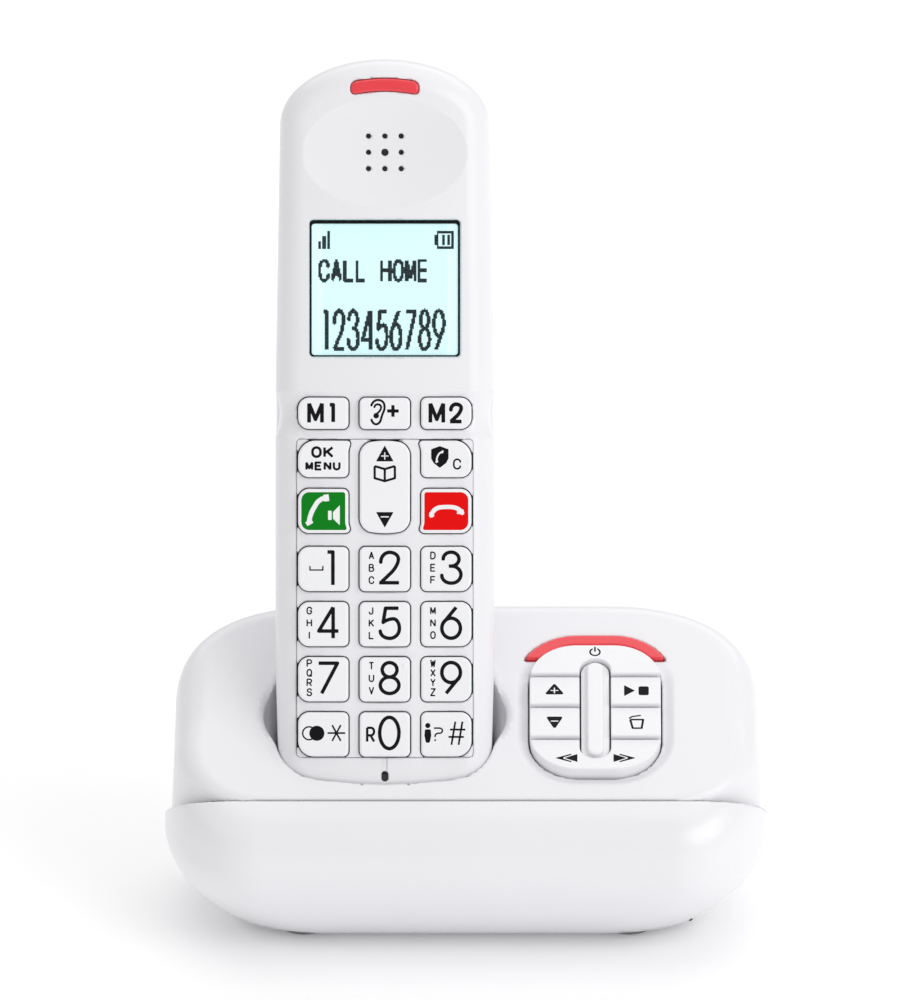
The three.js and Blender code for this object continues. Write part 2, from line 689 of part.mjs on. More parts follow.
function keyLoop([, column, low, high, ...radii], grow) {
  const x = column * COLUMN;
  const reach = KEY.width / 2 + grow;
  const corner = (i) => [Math.max(0.3, radii[i] + grow), Math.max(0.3, radii[i] + grow)];
  return roundedLoop(x - reach, x + reach, low - grow, high + grow, corner, 3);
}

const isMemory = (key) => key[2] > 86;
const keyWays = KEYS.map((key) => prismY(keyLoop(key, KEY.gap), -6, 9));
const memoryWays = keyWays.filter((_, i) => isMemory(KEYS[i]));
const frameWays = keyWays.filter((_, i) => !isMemory(KEYS[i]));

const frontHalf = box([-40, -10, -5], [40, SHELL_PARTING_Y - 0.1, 190]);
const rearHalf = box([-40, SHELL_PARTING_Y + 0.1, -5], [40, 40, 190]);
const earDish = solid(new THREE.SphereGeometry(1, 20, 14).scale(27, 6, 19), at(0, -4.5, EAR.z));
const earSeat = pinY(14.8, 2, 4.4, 0, EAR.z, 20);
const earHoles = [-1, 0, 1].flatMap((column) =>
  [-1, 0, 1].map((row) => {
    const radius = column || row ? EAR.hole : EAR.middle;
    return pinY(radius, -2, 8, column * EAR.pitch, EAR.z + row * EAR.pitch, 6);
  }),
);
const frameOpening = box(
  [-FRAME.half - 0.15, -5, FRAME.low - 0.15],
  [FRAME.half + 0.15, 4.5, FRAME.high + 0.15],
);
const padWays = [-1, 1].map((side) =>
  box(
    [side * PAD.x - PAD.half - GAP, PAD.front - GAP, -2],
    [side * PAD.x + PAD.half + GAP, PAD.back + GAP, PAD.thick + GAP],
  ),
);
add(
  handset,
  "handset_front_cover",
  WHITE,
  cut(
    common(join(cut(outer, cavity), earSeat), frontHalf),
    earDish,
    ...earHoles,
    frameOpening,
    ...memoryWays,
    prismY(windowLoop(0.15), -6, 6),
    prismY(lightLoop(0.15), -6, 8),
    box([-MIC.half, -3, MIC.z - MIC.tall], [MIC.half, 8, MIC.z + MIC.tall]),
    ...padWays,
  ),
);

// Rear cover with the battery bay, the runway for its door, screw posts and speaker slots.
const runway = cut(
  box([-DOOR.half - GAP, 16, DOOR.low - DOOR.travel - GAP], [DOOR.half + GAP, 34, DOOR.high + GAP]),
  slimmed,
);
const bayTub = box(
  [-BAY.half - BAY.wall, BAY.floor - BAY.wall, BAY.low - BAY.wall],
  [BAY.half + BAY.wall, 24, BAY.high + BAY.wall],
);
const bayRoom = box([-BAY.half, BAY.floor, BAY.low], [BAY.half, 34, BAY.high]);
const SCREW = { x: 17, z: 56, head: 1.9, shank: 1.1, seat: 22.4 };
const screwPosts = [-1, 1].map((side) => pinY(3.2, 15.4, 24, side * SCREW.x, SCREW.z, 10));
const screwWays = [-1, 1].map((side) =>
  join(
    pinY(SCREW.shank + GAP, 10, 30, side * SCREW.x, SCREW.z, 10),
    pinY(SCREW.head + GAP, SCREW.seat, 30, side * SCREW.x, SCREW.z, 12),
  ),
);
const rearSlots = [-4, -2, 0, 2, 4].map((row) =>
  box([-7, 18, 139.2 + row * 1.3], [7, 34, 140.4 + row * 1.3]),
);
const rearShell = cut(common(cut(outer, cavity), rearHalf), runway);
add(
  handset,
  "handset_rear_cover",
  WHITE,
  cut(join(rearShell, common(bayTub, outer), ...screwPosts), bayRoom, ...screwWays, ...rearSlots),
);

// Battery door: the outer skin of the back, with a ribbed thumb grip.
const doorBlank = box([-DOOR.half, 17, DOOR.low], [DOOR.half, 34, DOOR.high]);
const doorSkin = common(cut(outer, handsetForm(0, OUTER_LEVELS, DOOR.skin)), doorBlank);
const gripGrooves = [0, 1, 2, 3].map((row) =>
  box([-7, THICKNESS - 0.5, 97 + row * 2.2], [7, THICKNESS + 2, 98 + row * 2.2]),
);
add(handset, "battery_door", WHITE, cut(doorSkin, ...gripGrooves));

// ---------------------------------------------------------------- handset face
const frameBlank = box([-FRAME.half, -3, FRAME.low], [FRAME.half, 4.4, FRAME.high]);
add(
  handset,
  "keypad_frame",
  WHITE,
  cut(common(faceSkin(0, FRAME.thick), frameBlank), ...frameWays),
);
add(
  handset,
  "display_window",
  CLEAR,
  common(faceSkin(0.2, 0.2 + WINDOW.thick), prismY(windowLoop(0), -5, 6)),
);
add(handset, "handset_light_bar", RED_LENS, common(faceSkin(-0.2, 3.2), prismY(lightLoop(0), -6, 7.5)));

KEYS.forEach((key) => {
  const [name, column] = key;
  const material = key[8] ?? KEY_WHITE;
  const dip = FACE_CROWN * (column * COLUMN) ** 2 + (isMemory(key) ? 0.6 : 0);
  const levels = [
    [KEY.foot, 0],
    [KEY.bevel - KEY.proud + dip, 0],
    [dip - KEY.proud, KEY.bevel],
  ];
  const rings = levels.map(([y, inset]) =>
    keyLoop(key, -inset).map((p) => new THREE.Vector3(p.x, y, p.y)),
  );
  add(handset, `key_${name}`, material, loft(rings));
});

// ---------------------------------------------------------------- handset inside
add(
  handset,
  "handset_key_mat",
  SILICONE,
  box([-19.5, MAT.top, 11], [19.5, MAT.top + MAT.thick, 95]),
);
add(
  handset,
  "handset_board",
  BOARD_GREEN,
  join(
    box([-20.5, BOARD.top, 9], [20.5, BOARD.top + BOARD.thick, 137.5]),
    box([-9, BOARD.top, 116], [9, BOARD.top + 3.6, 130]),
    pinY(2.2, MAT.top - 1, BOARD.top + 1, 0, 6.6, 12),
    box([-2.2, BOARD.top, 5], [2.2, BOARD.top + BOARD.thick, 11]),
  ),
);
add(
  handset,
  "display_module",
  SCREEN,
  join(
    box([-18, 3.9, 102.3], [18, 6, 136.7]),
    box([-17, 3, 104.7], [17, 4.4, 135.5]),
  ),
);
const receiverProfile = [
  [0, 4.7],
  [12, 4.7],
  [12, 7.2],
  [8, 7.2],
  [8, 9.8],
  [0, 9.8],
].map(([r, y]) => new THREE.Vector2(r, y));
add(handset, "earpiece", STEEL, solid(new THREE.LatheGeometry(receiverProfile, 20), at(0, 0, EAR.z)));
const ringerProfile = [
  [0, 16],
  [5, 16],
  [5, 17.5],
  [10, 20],
  [10, 22.6],
  [0, 22.6],
].map(([r, y]) => new THREE.Vector2(r, y));
add(handset, "loudspeaker", STEEL, solid(new THREE.LatheGeometry(ringerProfile, 20), at(0, 0, 139.8)));

// Two AAA cells, side by side, nose to tail.
const CELL = { radius: 5.25, length: 43.7, nib: 1.9, nibLength: 0.8 };
[-1, 1].forEach((side) => {
  const profile = [
    [0, 0],
    [CELL.radius, 0],
    [CELL.radius, CELL.length],
    [CELL.nib, CELL.length],
    [CELL.nib, CELL.length + CELL.nibLength],
    [0, CELL.length + CELL.nibLength],
  ].map(([r, z]) => new THREE.Vector2(r, z));
  const cellBody = new THREE.LatheGeometry(profile, 16).rotateX(side < 0 ? Math.PI / 2 : -Math.PI / 2);
  const low = BAY.low + 3;
  const start = side < 0 ? low : low + CELL.length + CELL.nibLength;
  const name = `battery_cell_${side < 0 ? "left" : "right"}`;
  add(handset, name, GREEN_KEY, solid(cellBody, at(side * 5.9, 19.2, start)));
});

[-1, 1].forEach((side) => {
  const label = side < 0 ? "left" : "right";
  const x = side * PAD.x;
  const pad = box([x - PAD.half, PAD.front, 0.1], [x + PAD.half, PAD.back, PAD.thick]);
  add(handset, `charge_pad_${label}`, METAL, pad);
  const drive = box([-0.4, 24, -1.4], [0.4, 26, 1.4], at(side * SCREW.x, 0, SCREW.z));
  const screw = join(
    pinY(SCREW.shank, 12.5, SCREW.seat + 0.5, side * SCREW.x, SCREW.z, 10),
    pinY(SCREW.head, SCREW.seat + 0.2, SCREW.seat + 1.6, side * SCREW.x, SCREW.z, 12),
  );
  add(handset, `shell_screw_${label}`, STEEL, cut(screw, drive));
});

// The origin goes to the middle of the bounding box's underside.
const bounds = new THREE.Box3().setFromObject(model, true);
model.position.set(-(bounds.min.x + bounds.max.x) / 2, -(bounds.min.y + bounds.max.y) / 2, -bounds.min.z);

export default model;
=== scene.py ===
"""Looks of a cordless telephone standing in its charging base.

Shapes are signed distances in millimetres, below zero inside the plastic. MM turns them into metres.
The base is described with x to the right, d behind its foremost point and z up. The handset has its
own frame: x right, y from the face to the back, z from the bottom end to the top end. The control
island has a frame on the tilted top face: x right, y up the slope, z outwards.
"""

import math

import bpy
import numpy as np
import openvdb
from mathutils import Matrix, Vector


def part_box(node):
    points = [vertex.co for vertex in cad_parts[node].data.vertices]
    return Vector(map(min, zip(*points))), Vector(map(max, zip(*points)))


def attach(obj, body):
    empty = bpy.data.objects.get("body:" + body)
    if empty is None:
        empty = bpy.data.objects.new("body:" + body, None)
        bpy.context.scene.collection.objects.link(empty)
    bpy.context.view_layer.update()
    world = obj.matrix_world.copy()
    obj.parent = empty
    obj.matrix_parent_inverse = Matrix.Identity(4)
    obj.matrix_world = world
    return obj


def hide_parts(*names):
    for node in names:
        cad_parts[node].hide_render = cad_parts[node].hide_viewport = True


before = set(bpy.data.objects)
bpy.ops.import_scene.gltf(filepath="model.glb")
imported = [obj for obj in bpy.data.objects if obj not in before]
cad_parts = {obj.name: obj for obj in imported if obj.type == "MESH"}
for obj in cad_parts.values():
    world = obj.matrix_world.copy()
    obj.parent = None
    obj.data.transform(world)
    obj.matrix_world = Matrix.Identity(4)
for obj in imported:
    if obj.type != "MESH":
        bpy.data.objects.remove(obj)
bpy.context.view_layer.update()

MM = 0.001

# Camera: straight in front, looking down at this angle through a long lens.
ELEVATION = math.radians(22)
CAMERA_DISTANCE = 6.0
WIDTH_SEEN = 0.2152
AIM = Vector((-0.00105, 0, 0.0992))

# Base: the outline's corners, the lip in front, the parting lines and the walls
BASE_HALF = 70.3
BASE_DEPTH = 84
CENTRE_D = 29
FRONT_CORNER = 22
REAR_CORNER_X, REAR_CORNER_D = 33, 45
UNDERSIDE = 1.5
LIP_D, LIP_Z = 9, 39
PARTING_SLOPE = 0.57
REAR_PARTING = 15
TILT = math.radians(28)
WALL = 2.2
GAP = 0.3
SEAM = 0.04
FOOT_RADIUS, FOOT_HEIGHT = 5, 2.4
VOICE_X, VOICE_D, VOICE_Z, VOICE_RADIUS = 52.2, 22.0, 3.8, 0.62

# Sockets in the base's rear wall: middle, half width, low and high edge of each window
SOCKETS = ((-20, 5.5, 7.2, 17.6), (-2, 6.7, 7.2, 19))
SOCKET_FRONT = 66

# Cradle: room round the handset, wall, middle of its depth, and the scoop beside it for the thumb
CRADLE_GAP, CRADLE_WALL, CRADLE_Y, CRADLE_REACH = 0.5, 1.6, 13.5, 14.0
SCOOP_X, SCOOP_Y, SCOOP_Z = 24.5, 12, 21.5
SCOOP_WIDE, SCOOP_DEEP, SCOOP_TALL = 4.0, 8, 7

# Handset
LEAN = math.radians(20)
HANDSET_X, HANDSET_D, HANDSET_Z = -19, 12.5, 36.5
LENGTH = 173.2
TOP_DOME = 15
HALF_WIDTH = 25.5
THICKNESS = 27
CROWN = 0.0038
PARTING_Y = 15
BELT_Z, BELT_HALF, BELT_DEPTH = 90.6, 5.4, 1.2
TAPER_UP, TAPER_DOWN, TAPER_Z = 1.1, 0.9, 35
EAR_Z, EAR_HALF_X, EAR_HALF_Z, EAR_DEPTH = 151.7, 19.2, 12.9, 2.6
EAR_PITCH = 3.8
LIGHT_Z, LIGHT_HALF, LIGHT_HALF_TALL, LIGHT_ARCH = 167.45, 7.9, 1.45, 0.014
MIC_Z = 6.6
WINDOW_HALF, WINDOW_LOW, WINDOW_HIGH = 17.5, 104.2, 136.0
WINDOW_MIDDLE, WINDOW_REACH = (WINDOW_LOW + WINDOW_HIGH) / 2, (WINDOW_HIGH - WINDOW_LOW) / 2
BAY_Z, BAY_HALF, BAY_REACH = 77, 12.7, 26
FRAME_HALF, FRAME_LOW, FRAME_HIGH = 20.5, 11, 85
DOOR_HALF, DOOR_LOW, DOOR_HIGH, DOOR_TRAVEL, DOOR_SKIN = 19, 48.3, 108, 8, 1.6

# Keys
COLUMN = 14.3
KEY_HALF = 5.85
KEY_PROUD = 1.2
KEY_FOOT = 4.0
KEY_GAP = 0.25

# Control island
ISLAND_X, ISLAND_D = 30, 32.9
ISLAND_HALF, ISLAND_REACH, ISLAND_CORNER = 15.3, 19.05, 11
ISLAND_PROUD, ISLAND_FOOT = 2.0, 2.5
RIB_HALF, RIB_LOW, RIB_HIGH = 3.3, -15.2, 14.2
RIDGE_LOW, RIDGE_HIGH = -14.6, 13.0
ROWS = (9.6, 0.35, -9.25)
ROW_GAP = 0.5
KEY_FALL = math.radians(5.4)
BAR_INNER, BAR_WIDTH, BAR_LOW = 0.4, 3.1, 15.4

# Printing: half the width of each kind of stroke, and the display's pixels
DIGIT_STROKE, LETTER_STROKE, BOLD_STROKE, SIGN_STROKE = 0.42, 0.16, 0.44, 0.22
PIXEL = 0.3
PICTURE_Z = 129.4


# ------------------------------------------------------------ distances
def both(a, b, r):
    """Where a and b overlap, with their common edge rounded to radius r."""
    corner = np.hypot(np.maximum(a + r, 0), np.maximum(b + r, 0))
    return np.minimum(np.maximum(a, b), -r) + corner


def less(a, b, r):
    """a with b cut out of it."""
    return both(a, -b, r)


def either(a, b, r):
    """a and b together, with a hollow fillet where they meet."""
    return -both(-a, -b, r)


def rectangle(u, v, half_u, half_v, r):
    """A rectangle round (0, 0) with corner radius r, which may vary over the surface."""
    qu = np.abs(u) - half_u + r
    qv = np.abs(v) - half_v + r
    return np.minimum(np.maximum(qu, qv), 0) + np.hypot(np.maximum(qu, 0), np.maximum(qv, 0)) - r


def slit(value, low, high):
    """The distance outside the range low to high."""
    return np.abs(value - (low + high) / 2) - (high - low) / 2


def ease(value, low, high):
    """Rises smoothly from 0 at low to 1 at high."""
    share = np.clip((value - low) / (high - low), 0, 1)
    return share * share * (3 - 2 * share)


def slope_of(field, points, step):
    """The gradient of field at each point."""
    sides = []
    for axis in range(3):
        ahead = points.copy()
        behind = points.copy()
        ahead[:, axis] += step
        behind[:, axis] -= step
        sides.append((field(*ahead.T) - field(*behind.T)) / (2 * step))
    return np.stack(sides, axis=1)


def mould(name, field, low, high, step, place):
    """A smooth closed mesh where field is zero, between two corners, put in place by a matrix."""
    axes = [np.arange(a - 1.5 * step, b + 1.6 * step, step) for a, b in zip(low, high)]
    x, y, z = np.meshgrid(*axes, indexing="ij", sparse=True)
    band = 3 * step
    values = np.broadcast_to(np.clip(field(x, y, z), -band, band), [len(a) for a in axes])
    grid = openvdb.FloatGrid(band)
    grid.copyFromArray(np.ascontiguousarray(values, dtype=np.float32), tolerance=1e-6)
    points, triangles, quads = grid.convertToPolygons(isovalue=0.0, adaptivity=0.0)
    points = points.astype(float) * step + [a[0] for a in axes]
    for _ in range(4):
        slope = slope_of(field, points, 0.04)
        steepness = np.maximum((slope**2).sum(1), 0.05)
        move = -(field(*points.T) / steepness)[:, None] * slope
        reach = np.maximum(np.linalg.norm(move, axis=1, keepdims=True) / (0.5 * step), 1)
        points = points + move / reach
    normals = slope_of(field, points, 0.03)
    normals /= np.maximum(np.linalg.norm(normals, axis=1, keepdims=True), 1e-9)
    return put_mesh(name, points, [*triangles.tolist(), *quads.tolist()], normals, place)


def put_mesh(name, points, faces, normals, place):
    mesh = bpy.data.meshes.new(name)
    mesh.from_pydata(points * MM, [], faces)
    mesh.update()
    sample = [mesh.polygons[i] for i in range(0, len(mesh.polygons), 50)]
    outward = sum(p.normal.dot(Vector(normals[p.vertices[0]])) for p in sample)
    if outward < 0:
        mesh.flip_normals()
    mesh.shade_smooth()
    mesh.normals_split_custom_set_from_vertices(normals)
    return put_object(name, mesh, place)


def put_object(name, mesh, place):
    moved = place.copy()
    moved.translation = place.translation * MM
    mesh.transform(moved)
    piece = bpy.data.objects.new(name, mesh)
    bpy.context.scene.collection.objects.link(piece)
    return piece


# ------------------------------------------------------------ frames
front_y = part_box("base_front_fascia")[0].y / MM
BASE = Matrix.Translation((0, front_y, 0))
HANDSET = Matrix.Translation((HANDSET_X, front_y + HANDSET_D, HANDSET_Z)) @ Matrix.Rotation(-LEAN, 4, "X")


def panel_height(d):
    return LIP_Z + (d - LIP_D) * math.tan(TILT)


ISLAND_Z = panel_height(ISLAND_D)
PANEL = Matrix.Translation((ISLAND_X, front_y + ISLAND_D, ISLAND_Z)) @ Matrix.Rotation(TILT, 4, "X")


def to_handset(x, d, z):
    y, h = d - HANDSET_D, z - HANDSET_Z
    return (
        x - HANDSET_X,
        y * math.cos(LEAN) - h * math.sin(LEAN),
        y * math.sin(LEAN) + h * math.cos(LEAN),
    )


def to_panel(x, d, z):
    y, h = d - ISLAND_D, z - ISLAND_Z
    return (
        x - ISLAND_X,
        y * math.cos(TILT) + h * math.sin(TILT),
        h * math.cos(TILT) - y * math.sin(TILT),
    )


# ------------------------------------------------------------ materials
def new_material(name):
    """A material with its nodes, its links and its shader."""
    material = bpy.data.materials.new(name)
    material.use_nodes = True
    nodes = material.node_tree.nodes
    return material, nodes, material.node_tree.links, nodes["Principled BSDF"]


def add_node(nodes, kind, **values):
    """A new shader node with its sockets set. An underscore stands for the space in a socket's name."""
    node = nodes.new(kind)
    for name, value in values.items():
        node.inputs[name.replace("_", " ")].default_value = value
    return node


def add_relief(nodes, links, shader, height, strength):
    """Raises the surface a little where height is high."""
    relief = add_node(nodes, "ShaderNodeBump", Strength=strength, Distance=0.0001)
    links.new(height, relief.inputs["Height"])
    links.new(relief.outputs["Normal"], shader.inputs["Normal"])


def plastic(
    name, colour, roughness, grain=0.02, grain_size=0.35, coat=0.0, polish=0.04, tint=0.015, bump=0.02
):
    """Moulded plastic: faint cloudiness in its colour, a fine moulded grain and uneven polish."""
    material, nodes, links, shader = new_material(name)
    where = nodes.new("ShaderNodeTexCoord")
    cloud = add_node(nodes, "ShaderNodeTexNoise", Scale=28, Detail=2)
    links.new(where.outputs["Object"], cloud.inputs["Vector"])
    shade = add_node(nodes, "ShaderNodeMapRange", To_Min=1 - tint, To_Max=1 + tint)
    links.new(cloud.outputs["Fac"], shade.inputs["Value"])
    paint = nodes.new("ShaderNodeVectorMath")
    paint.operation = "SCALE"
    paint.inputs[0].default_value = colour
    links.new(shade.outputs["Result"], paint.inputs["Scale"])
    links.new(paint.outputs["Vector"], shader.inputs["Base Color"])
    pits = add_node(nodes, "ShaderNodeTexNoise", Scale=1000 / grain_size, Detail=1)
    links.new(where.outputs["Object"], pits.inputs["Vector"])
    smoothest = max(roughness - grain, 0.01)
    wear = add_node(nodes, "ShaderNodeMapRange", To_Min=smoothest, To_Max=roughness + grain)
    links.new(pits.outputs["Fac"], wear.inputs["Value"])
    links.new(wear.outputs["Result"], shader.inputs["Roughness"])
    add_relief(nodes, links, shader, pits.outputs["Fac"], bump)
    shader.inputs["Coat Weight"].default_value = coat
    shader.inputs["Coat Roughness"].default_value = polish
    return material


def printed(name, colour):
    """Silk-screen ink: matt, with a faint mottle."""
    material = plastic(name, colour, 0.5, tint=0.08, bump=0.01)
    material.node_tree.nodes["Principled BSDF"].inputs["Specular IOR Level"].default_value = 0.12
    return material


def glow(material, colour, strength):
    shader = material.node_tree.nodes["Principled BSDF"]
    shader.inputs["Emission Color"].default_value = (*colour, 1)
    shader.inputs["Emission Strength"].default_value = strength


def metal(name, colour, roughness, grain_size):
    """Bare metal with fine rolling marks."""
    material = plastic(name, colour, roughness, grain=0.06, grain_size=grain_size, tint=0.05, bump=0.05)
    material.node_tree.nodes["Principled BSDF"].inputs["Metallic"].default_value = 1
    return material


def glass(name, colour, opacity):
    """A clear pane that shows what lies behind it, with a faintly uneven polish."""
    material = plastic(name, colour, 0.04, grain_size=2, tint=0.02, bump=0.0)
    material.node_tree.nodes["Principled BSDF"].inputs["Alpha"].default_value = opacity
    return material


def circuit_board(name):
    """Green lacquer with copper tracks that show through as lighter bands."""
    material, nodes, links, shader = new_material(name)
    where = nodes.new("ShaderNodeTexCoord")
    tracks = add_node(nodes, "ShaderNodeTexBrick", Scale=130, Mortar_Size=0.06)
    tracks.inputs["Color1"].default_value = (0.02, 0.13, 0.05, 1)
    tracks.inputs["Color2"].default_value = (0.03, 0.17, 0.07, 1)
    tracks.inputs["Mortar"].default_value = (0.1, 0.33, 0.14, 1)
    links.new(where.outputs["Object"], tracks.inputs["Vector"])
    links.new(tracks.outputs["Color"], shader.inputs["Base Color"])
    add_relief(nodes, links, shader, tracks.outputs["Fac"], 0.1)
    shader.inputs["Roughness"].default_value = 0.35
    return material


def battery_sleeve(name):
    """A glossy shrink sleeve with a pale band round each cell."""
    material, nodes, links, shader = new_material(name)
    where = nodes.new("ShaderNodeTexCoord")
    bands = add_node(nodes, "ShaderNodeTexWave", Scale=7, Distortion=0.2)
    bands.bands_direction = "Z"
    ramp = nodes.new("ShaderNodeValToRGB")
    ramp.color_ramp.interpolation = "CONSTANT"
    green, band = ramp.color_ramp.elements
    green.color = (0.04, 0.24, 0.1, 1)
    band.position = 0.8
    band.color = (0.7, 0.72, 0.7, 1)
    links.new(where.outputs["Object"], bands.inputs["Vector"])
    links.new(bands.outputs["Fac"], ramp.inputs["Fac"])
    links.new(ramp.outputs["Color"], shader.inputs["Base Color"])
    shader.inputs["Roughness"].default_value = 0.22
    return material


GLOSS_WHITE = plastic("gloss_white", (0.84, 0.835, 0.86), 0.3, coat=0.35, polish=0.22, bump=0.0)
SATIN_WHITE = plastic("satin_white", (0.84, 0.835, 0.86), 0.3)
KEY_WHITE = plastic("key_white", (0.88, 0.88, 0.9), 0.38)
INK = printed("ink", (0.004, 0.004, 0.005))
GREEN_FILM = printed("green_film", (0.001, 0.2, 0.008))
RED_FILM = printed("red_film", (0.8, 0.001, 0.001))
RED_LENS = plastic("red_lens", (0.8, 0.035, 0.05), 0.22, coat=0.5, tint=0.06, bump=0.01)
glow(RED_LENS, (1, 0.08, 0.1), 0.03)
LCD_SHEET = plastic("lcd_sheet", (0.68, 0.96, 1.0), 0.35, tint=0.01, bump=0.0)
glow(LCD_SHEET, (0.72, 1, 1), 0.3)
LCD_PIXEL = printed("lcd_pixel", (0.012, 0.022, 0.026))
WINDOW = glass("window", (0.02, 0.03, 0.03), 0.05)
BLACK = plastic("black_plastic", (0.02, 0.02, 0.022), 0.45, grain=0.08, tint=0.1, bump=0.08)
# Darker than the key mats' own grey: painted shade in the gaps round the keys.
SHADE_DARKENED_SILICONE = plastic("silicone", (0.12, 0.12, 0.125), 0.6, grain=0.05, tint=0.03, bump=0.05)
RUBBER = plastic("rubber", (0.26, 0.26, 0.27), 0.75, grain=0.08, grain_size=0.5, tint=0.08, bump=0.25)
STEEL = metal("steel", (0.55, 0.56, 0.58), 0.28, 0.6)
GOLD = metal("gold", (0.8, 0.6, 0.28), 0.22, 0.4)
BOARD = circuit_board("board")
SLEEVE = battery_sleeve("sleeve")


def clad(piece, material, body, slot, *nodes):
    """Gives a piece its material, the body it moves with and the CAD nodes it stands for."""
    piece.data.materials.clear()
    piece.data.materials.append(material)
    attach(piece, body)
    if nodes:
        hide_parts(*nodes)


# ------------------------------------------------------------ printed marks
def bend(corners, radius=0.0, closed=False):
    """A path along straight strokes, with its corners rounded to ellipses."""
    points = np.array(corners, float)
    count = len(points)
    path = []
    for i, here in enumerate(points):
        if not closed and i in (0, count - 1):
            path.append(here)
            continue
        arms = []
        for other in (i - 1, (i + 1) % count):
            ending = not closed and other in (0, count - 1)
            arm = points[other] - here
            length = max(np.linalg.norm(arm), 1e-6)
            arms.append(arm * min(radius, length * (1 if ending else 0.5)) / length)
        start, end = here + arms[0], here + arms[1]
        for t in np.linspace(0, 1, 8 if radius else 1):
            inner, outer = here + arms[0] * 0.45, here + arms[1] * 0.45
            middle = 3 * t * (1 - t) ** 2 * inner + 3 * t * t * (1 - t) * outer
            path.append((1 - t) ** 3 * start + middle + t**3 * end)
    if closed:
        path.append(path[0])
    return np.array(path)


def line(*corners):
    return bend(corners), False


def curve(radius, *corners):
    return bend(corners, radius), False


def loop(radius, low, high):
    (left, bottom), (right, top) = low, high
    return bend([(left, bottom), (right, bottom), (right, top), (left, top)], radius, True), True


# Letters and digits as strokes, in a box 4 wide and 6 tall.
UPRIGHT = line((0, 0), (0, 6))
RIGHT_UPRIGHT = line((4, 0), (4, 6))
HEAD = curve(1.7, (0, 6), (4, 6), (4, 2.7), (0, 2.7))
GLYPHS = {
    "0": [loop(3, (0, 0), (4, 6))],
    "1": [line((1.5, 5.8), (2.7, 5.8), (2.7, 0))],
    "2": [curve(2, (0.1, 4.1), (0.1, 6), (3.8, 6), (3.8, 3.4), (0.1, 0.1)), line((-0.2, 0.1), (3.9, 0.1))],
    "3": [
        curve(1.6, (0.3, 4.7), (0.3, 6), (3.6, 6), (3.6, 3.3), (1.5, 3.3)),
        curve(1.9, (1.5, 3.3), (4, 3.3), (4, 0), (0, 0), (0, 1.5)),
    ],
    "4": [line((4.1, 1.4), (0, 1.4), (3, 6)), line((3, 6), (3, 0))],
    "5": [
        line((3.8, 5.85), (1.1, 5.85), (0.6, 3.1)),
        curve(2, (0.6, 3.1), (1.5, 3.8), (4, 3.8), (4, 0), (0, 0), (0, 1.4)),
    ],
    "6": [loop(2, (0, 0), (3.9, 3.9)), line((3, 6), (0.35, 3))],
    "7": [line((0, 5.85), (3.9, 5.85), (0.6, 0))],
    "8": [loop(1.6, (0.4, 3.2), (3.5, 6)), loop(2, (0, 0), (3.9, 3.2))],
    "9": [loop(2, (0, 2.1), (3.9, 6)), line((0.9, 0), (3.55, 3))],
    "A": [line((0, 0), (2, 6), (4, 0)), line((0.7, 2), (3.3, 2))],
    "B": [
        UPRIGHT,
        curve(1.5, (0, 6), (3.6, 6), (3.6, 3.2), (0, 3.2)),
        curve(1.6, (0, 3.2), (4, 3.2), (4, 0), (0, 0)),
    ],
    "C": [curve(2.2, (4, 4.4), (4, 6), (0, 6), (0, 0), (4, 0), (4, 1.6))],
    "D": [UPRIGHT, curve(2.6, (0, 6), (4, 6), (4, 0), (0, 0))],
    "E": [line((4, 0), (0, 0), (0, 6), (4, 6)), line((0, 3.1), (3.4, 3.1))],
    "F": [line((0, 0), (0, 6), (4, 6)), line((0, 3.1), (3.4, 3.1))],
    "G": [curve(2.2, (4, 4.4), (4, 6), (0, 6), (0, 0), (4, 0), (4, 2.8)), line((4, 2.8), (2.2, 2.8))],
    "H": [UPRIGHT, RIGHT_UPRIGHT, line((0, 3.1), (4, 3.1))],
    "I": [line((2, 0), (2, 6))],
    "J": [curve(1.7, (3.2, 6), (3.2, 0), (0, 0), (0, 1.8))],
    "K": [UPRIGHT, line((4, 6), (0, 2.2)), line((1.3, 3.4), (4, 0))],
    "L": [line((0, 6), (0, 0), (3.8, 0))],
    "M": [UPRIGHT, RIGHT_UPRIGHT, line((0, 6), (2, 1), (4, 6))],
    "N": [UPRIGHT, RIGHT_UPRIGHT, line((0, 6), (4, 0))],
    "O": [loop(2.4, (0, 0), (4, 6))],
    "P": [UPRIGHT, HEAD],
    "Q": [loop(2.4, (0, 0), (4, 6)), line((2.4, 1.6), (4.2, -0.3))],
    "R": [UPRIGHT, HEAD, line((2, 2.7), (4, 0))],
    "S": [curve(1.7, (3.8, 4.8), (3.8, 6), (0.2, 6), (0.2, 3.1), (4, 3.1), (4, 0), (0, 0), (0, 1.3))],
    "T": [line((0, 6), (4, 6)), line((2, 6), (2, 0))],
    "U": [curve(2.2, (0, 6), (0, 0), (4, 0), (4, 6))],
    "V": [line((0, 6), (2, 0), (4, 6))],
    "W": [line((0, 6), (1, 0), (2, 4.6), (3, 0), (4, 6))],
    "X": [line((0, 0), (4, 6)), line((0, 6), (4, 0))],
    "Y": [line((0, 6), (2, 3), (4, 6)), line((2, 3), (2, 0))],
    "Z": [line((0, 6), (4, 6), (0, 0), (4, 0))],
    " ": [],
}


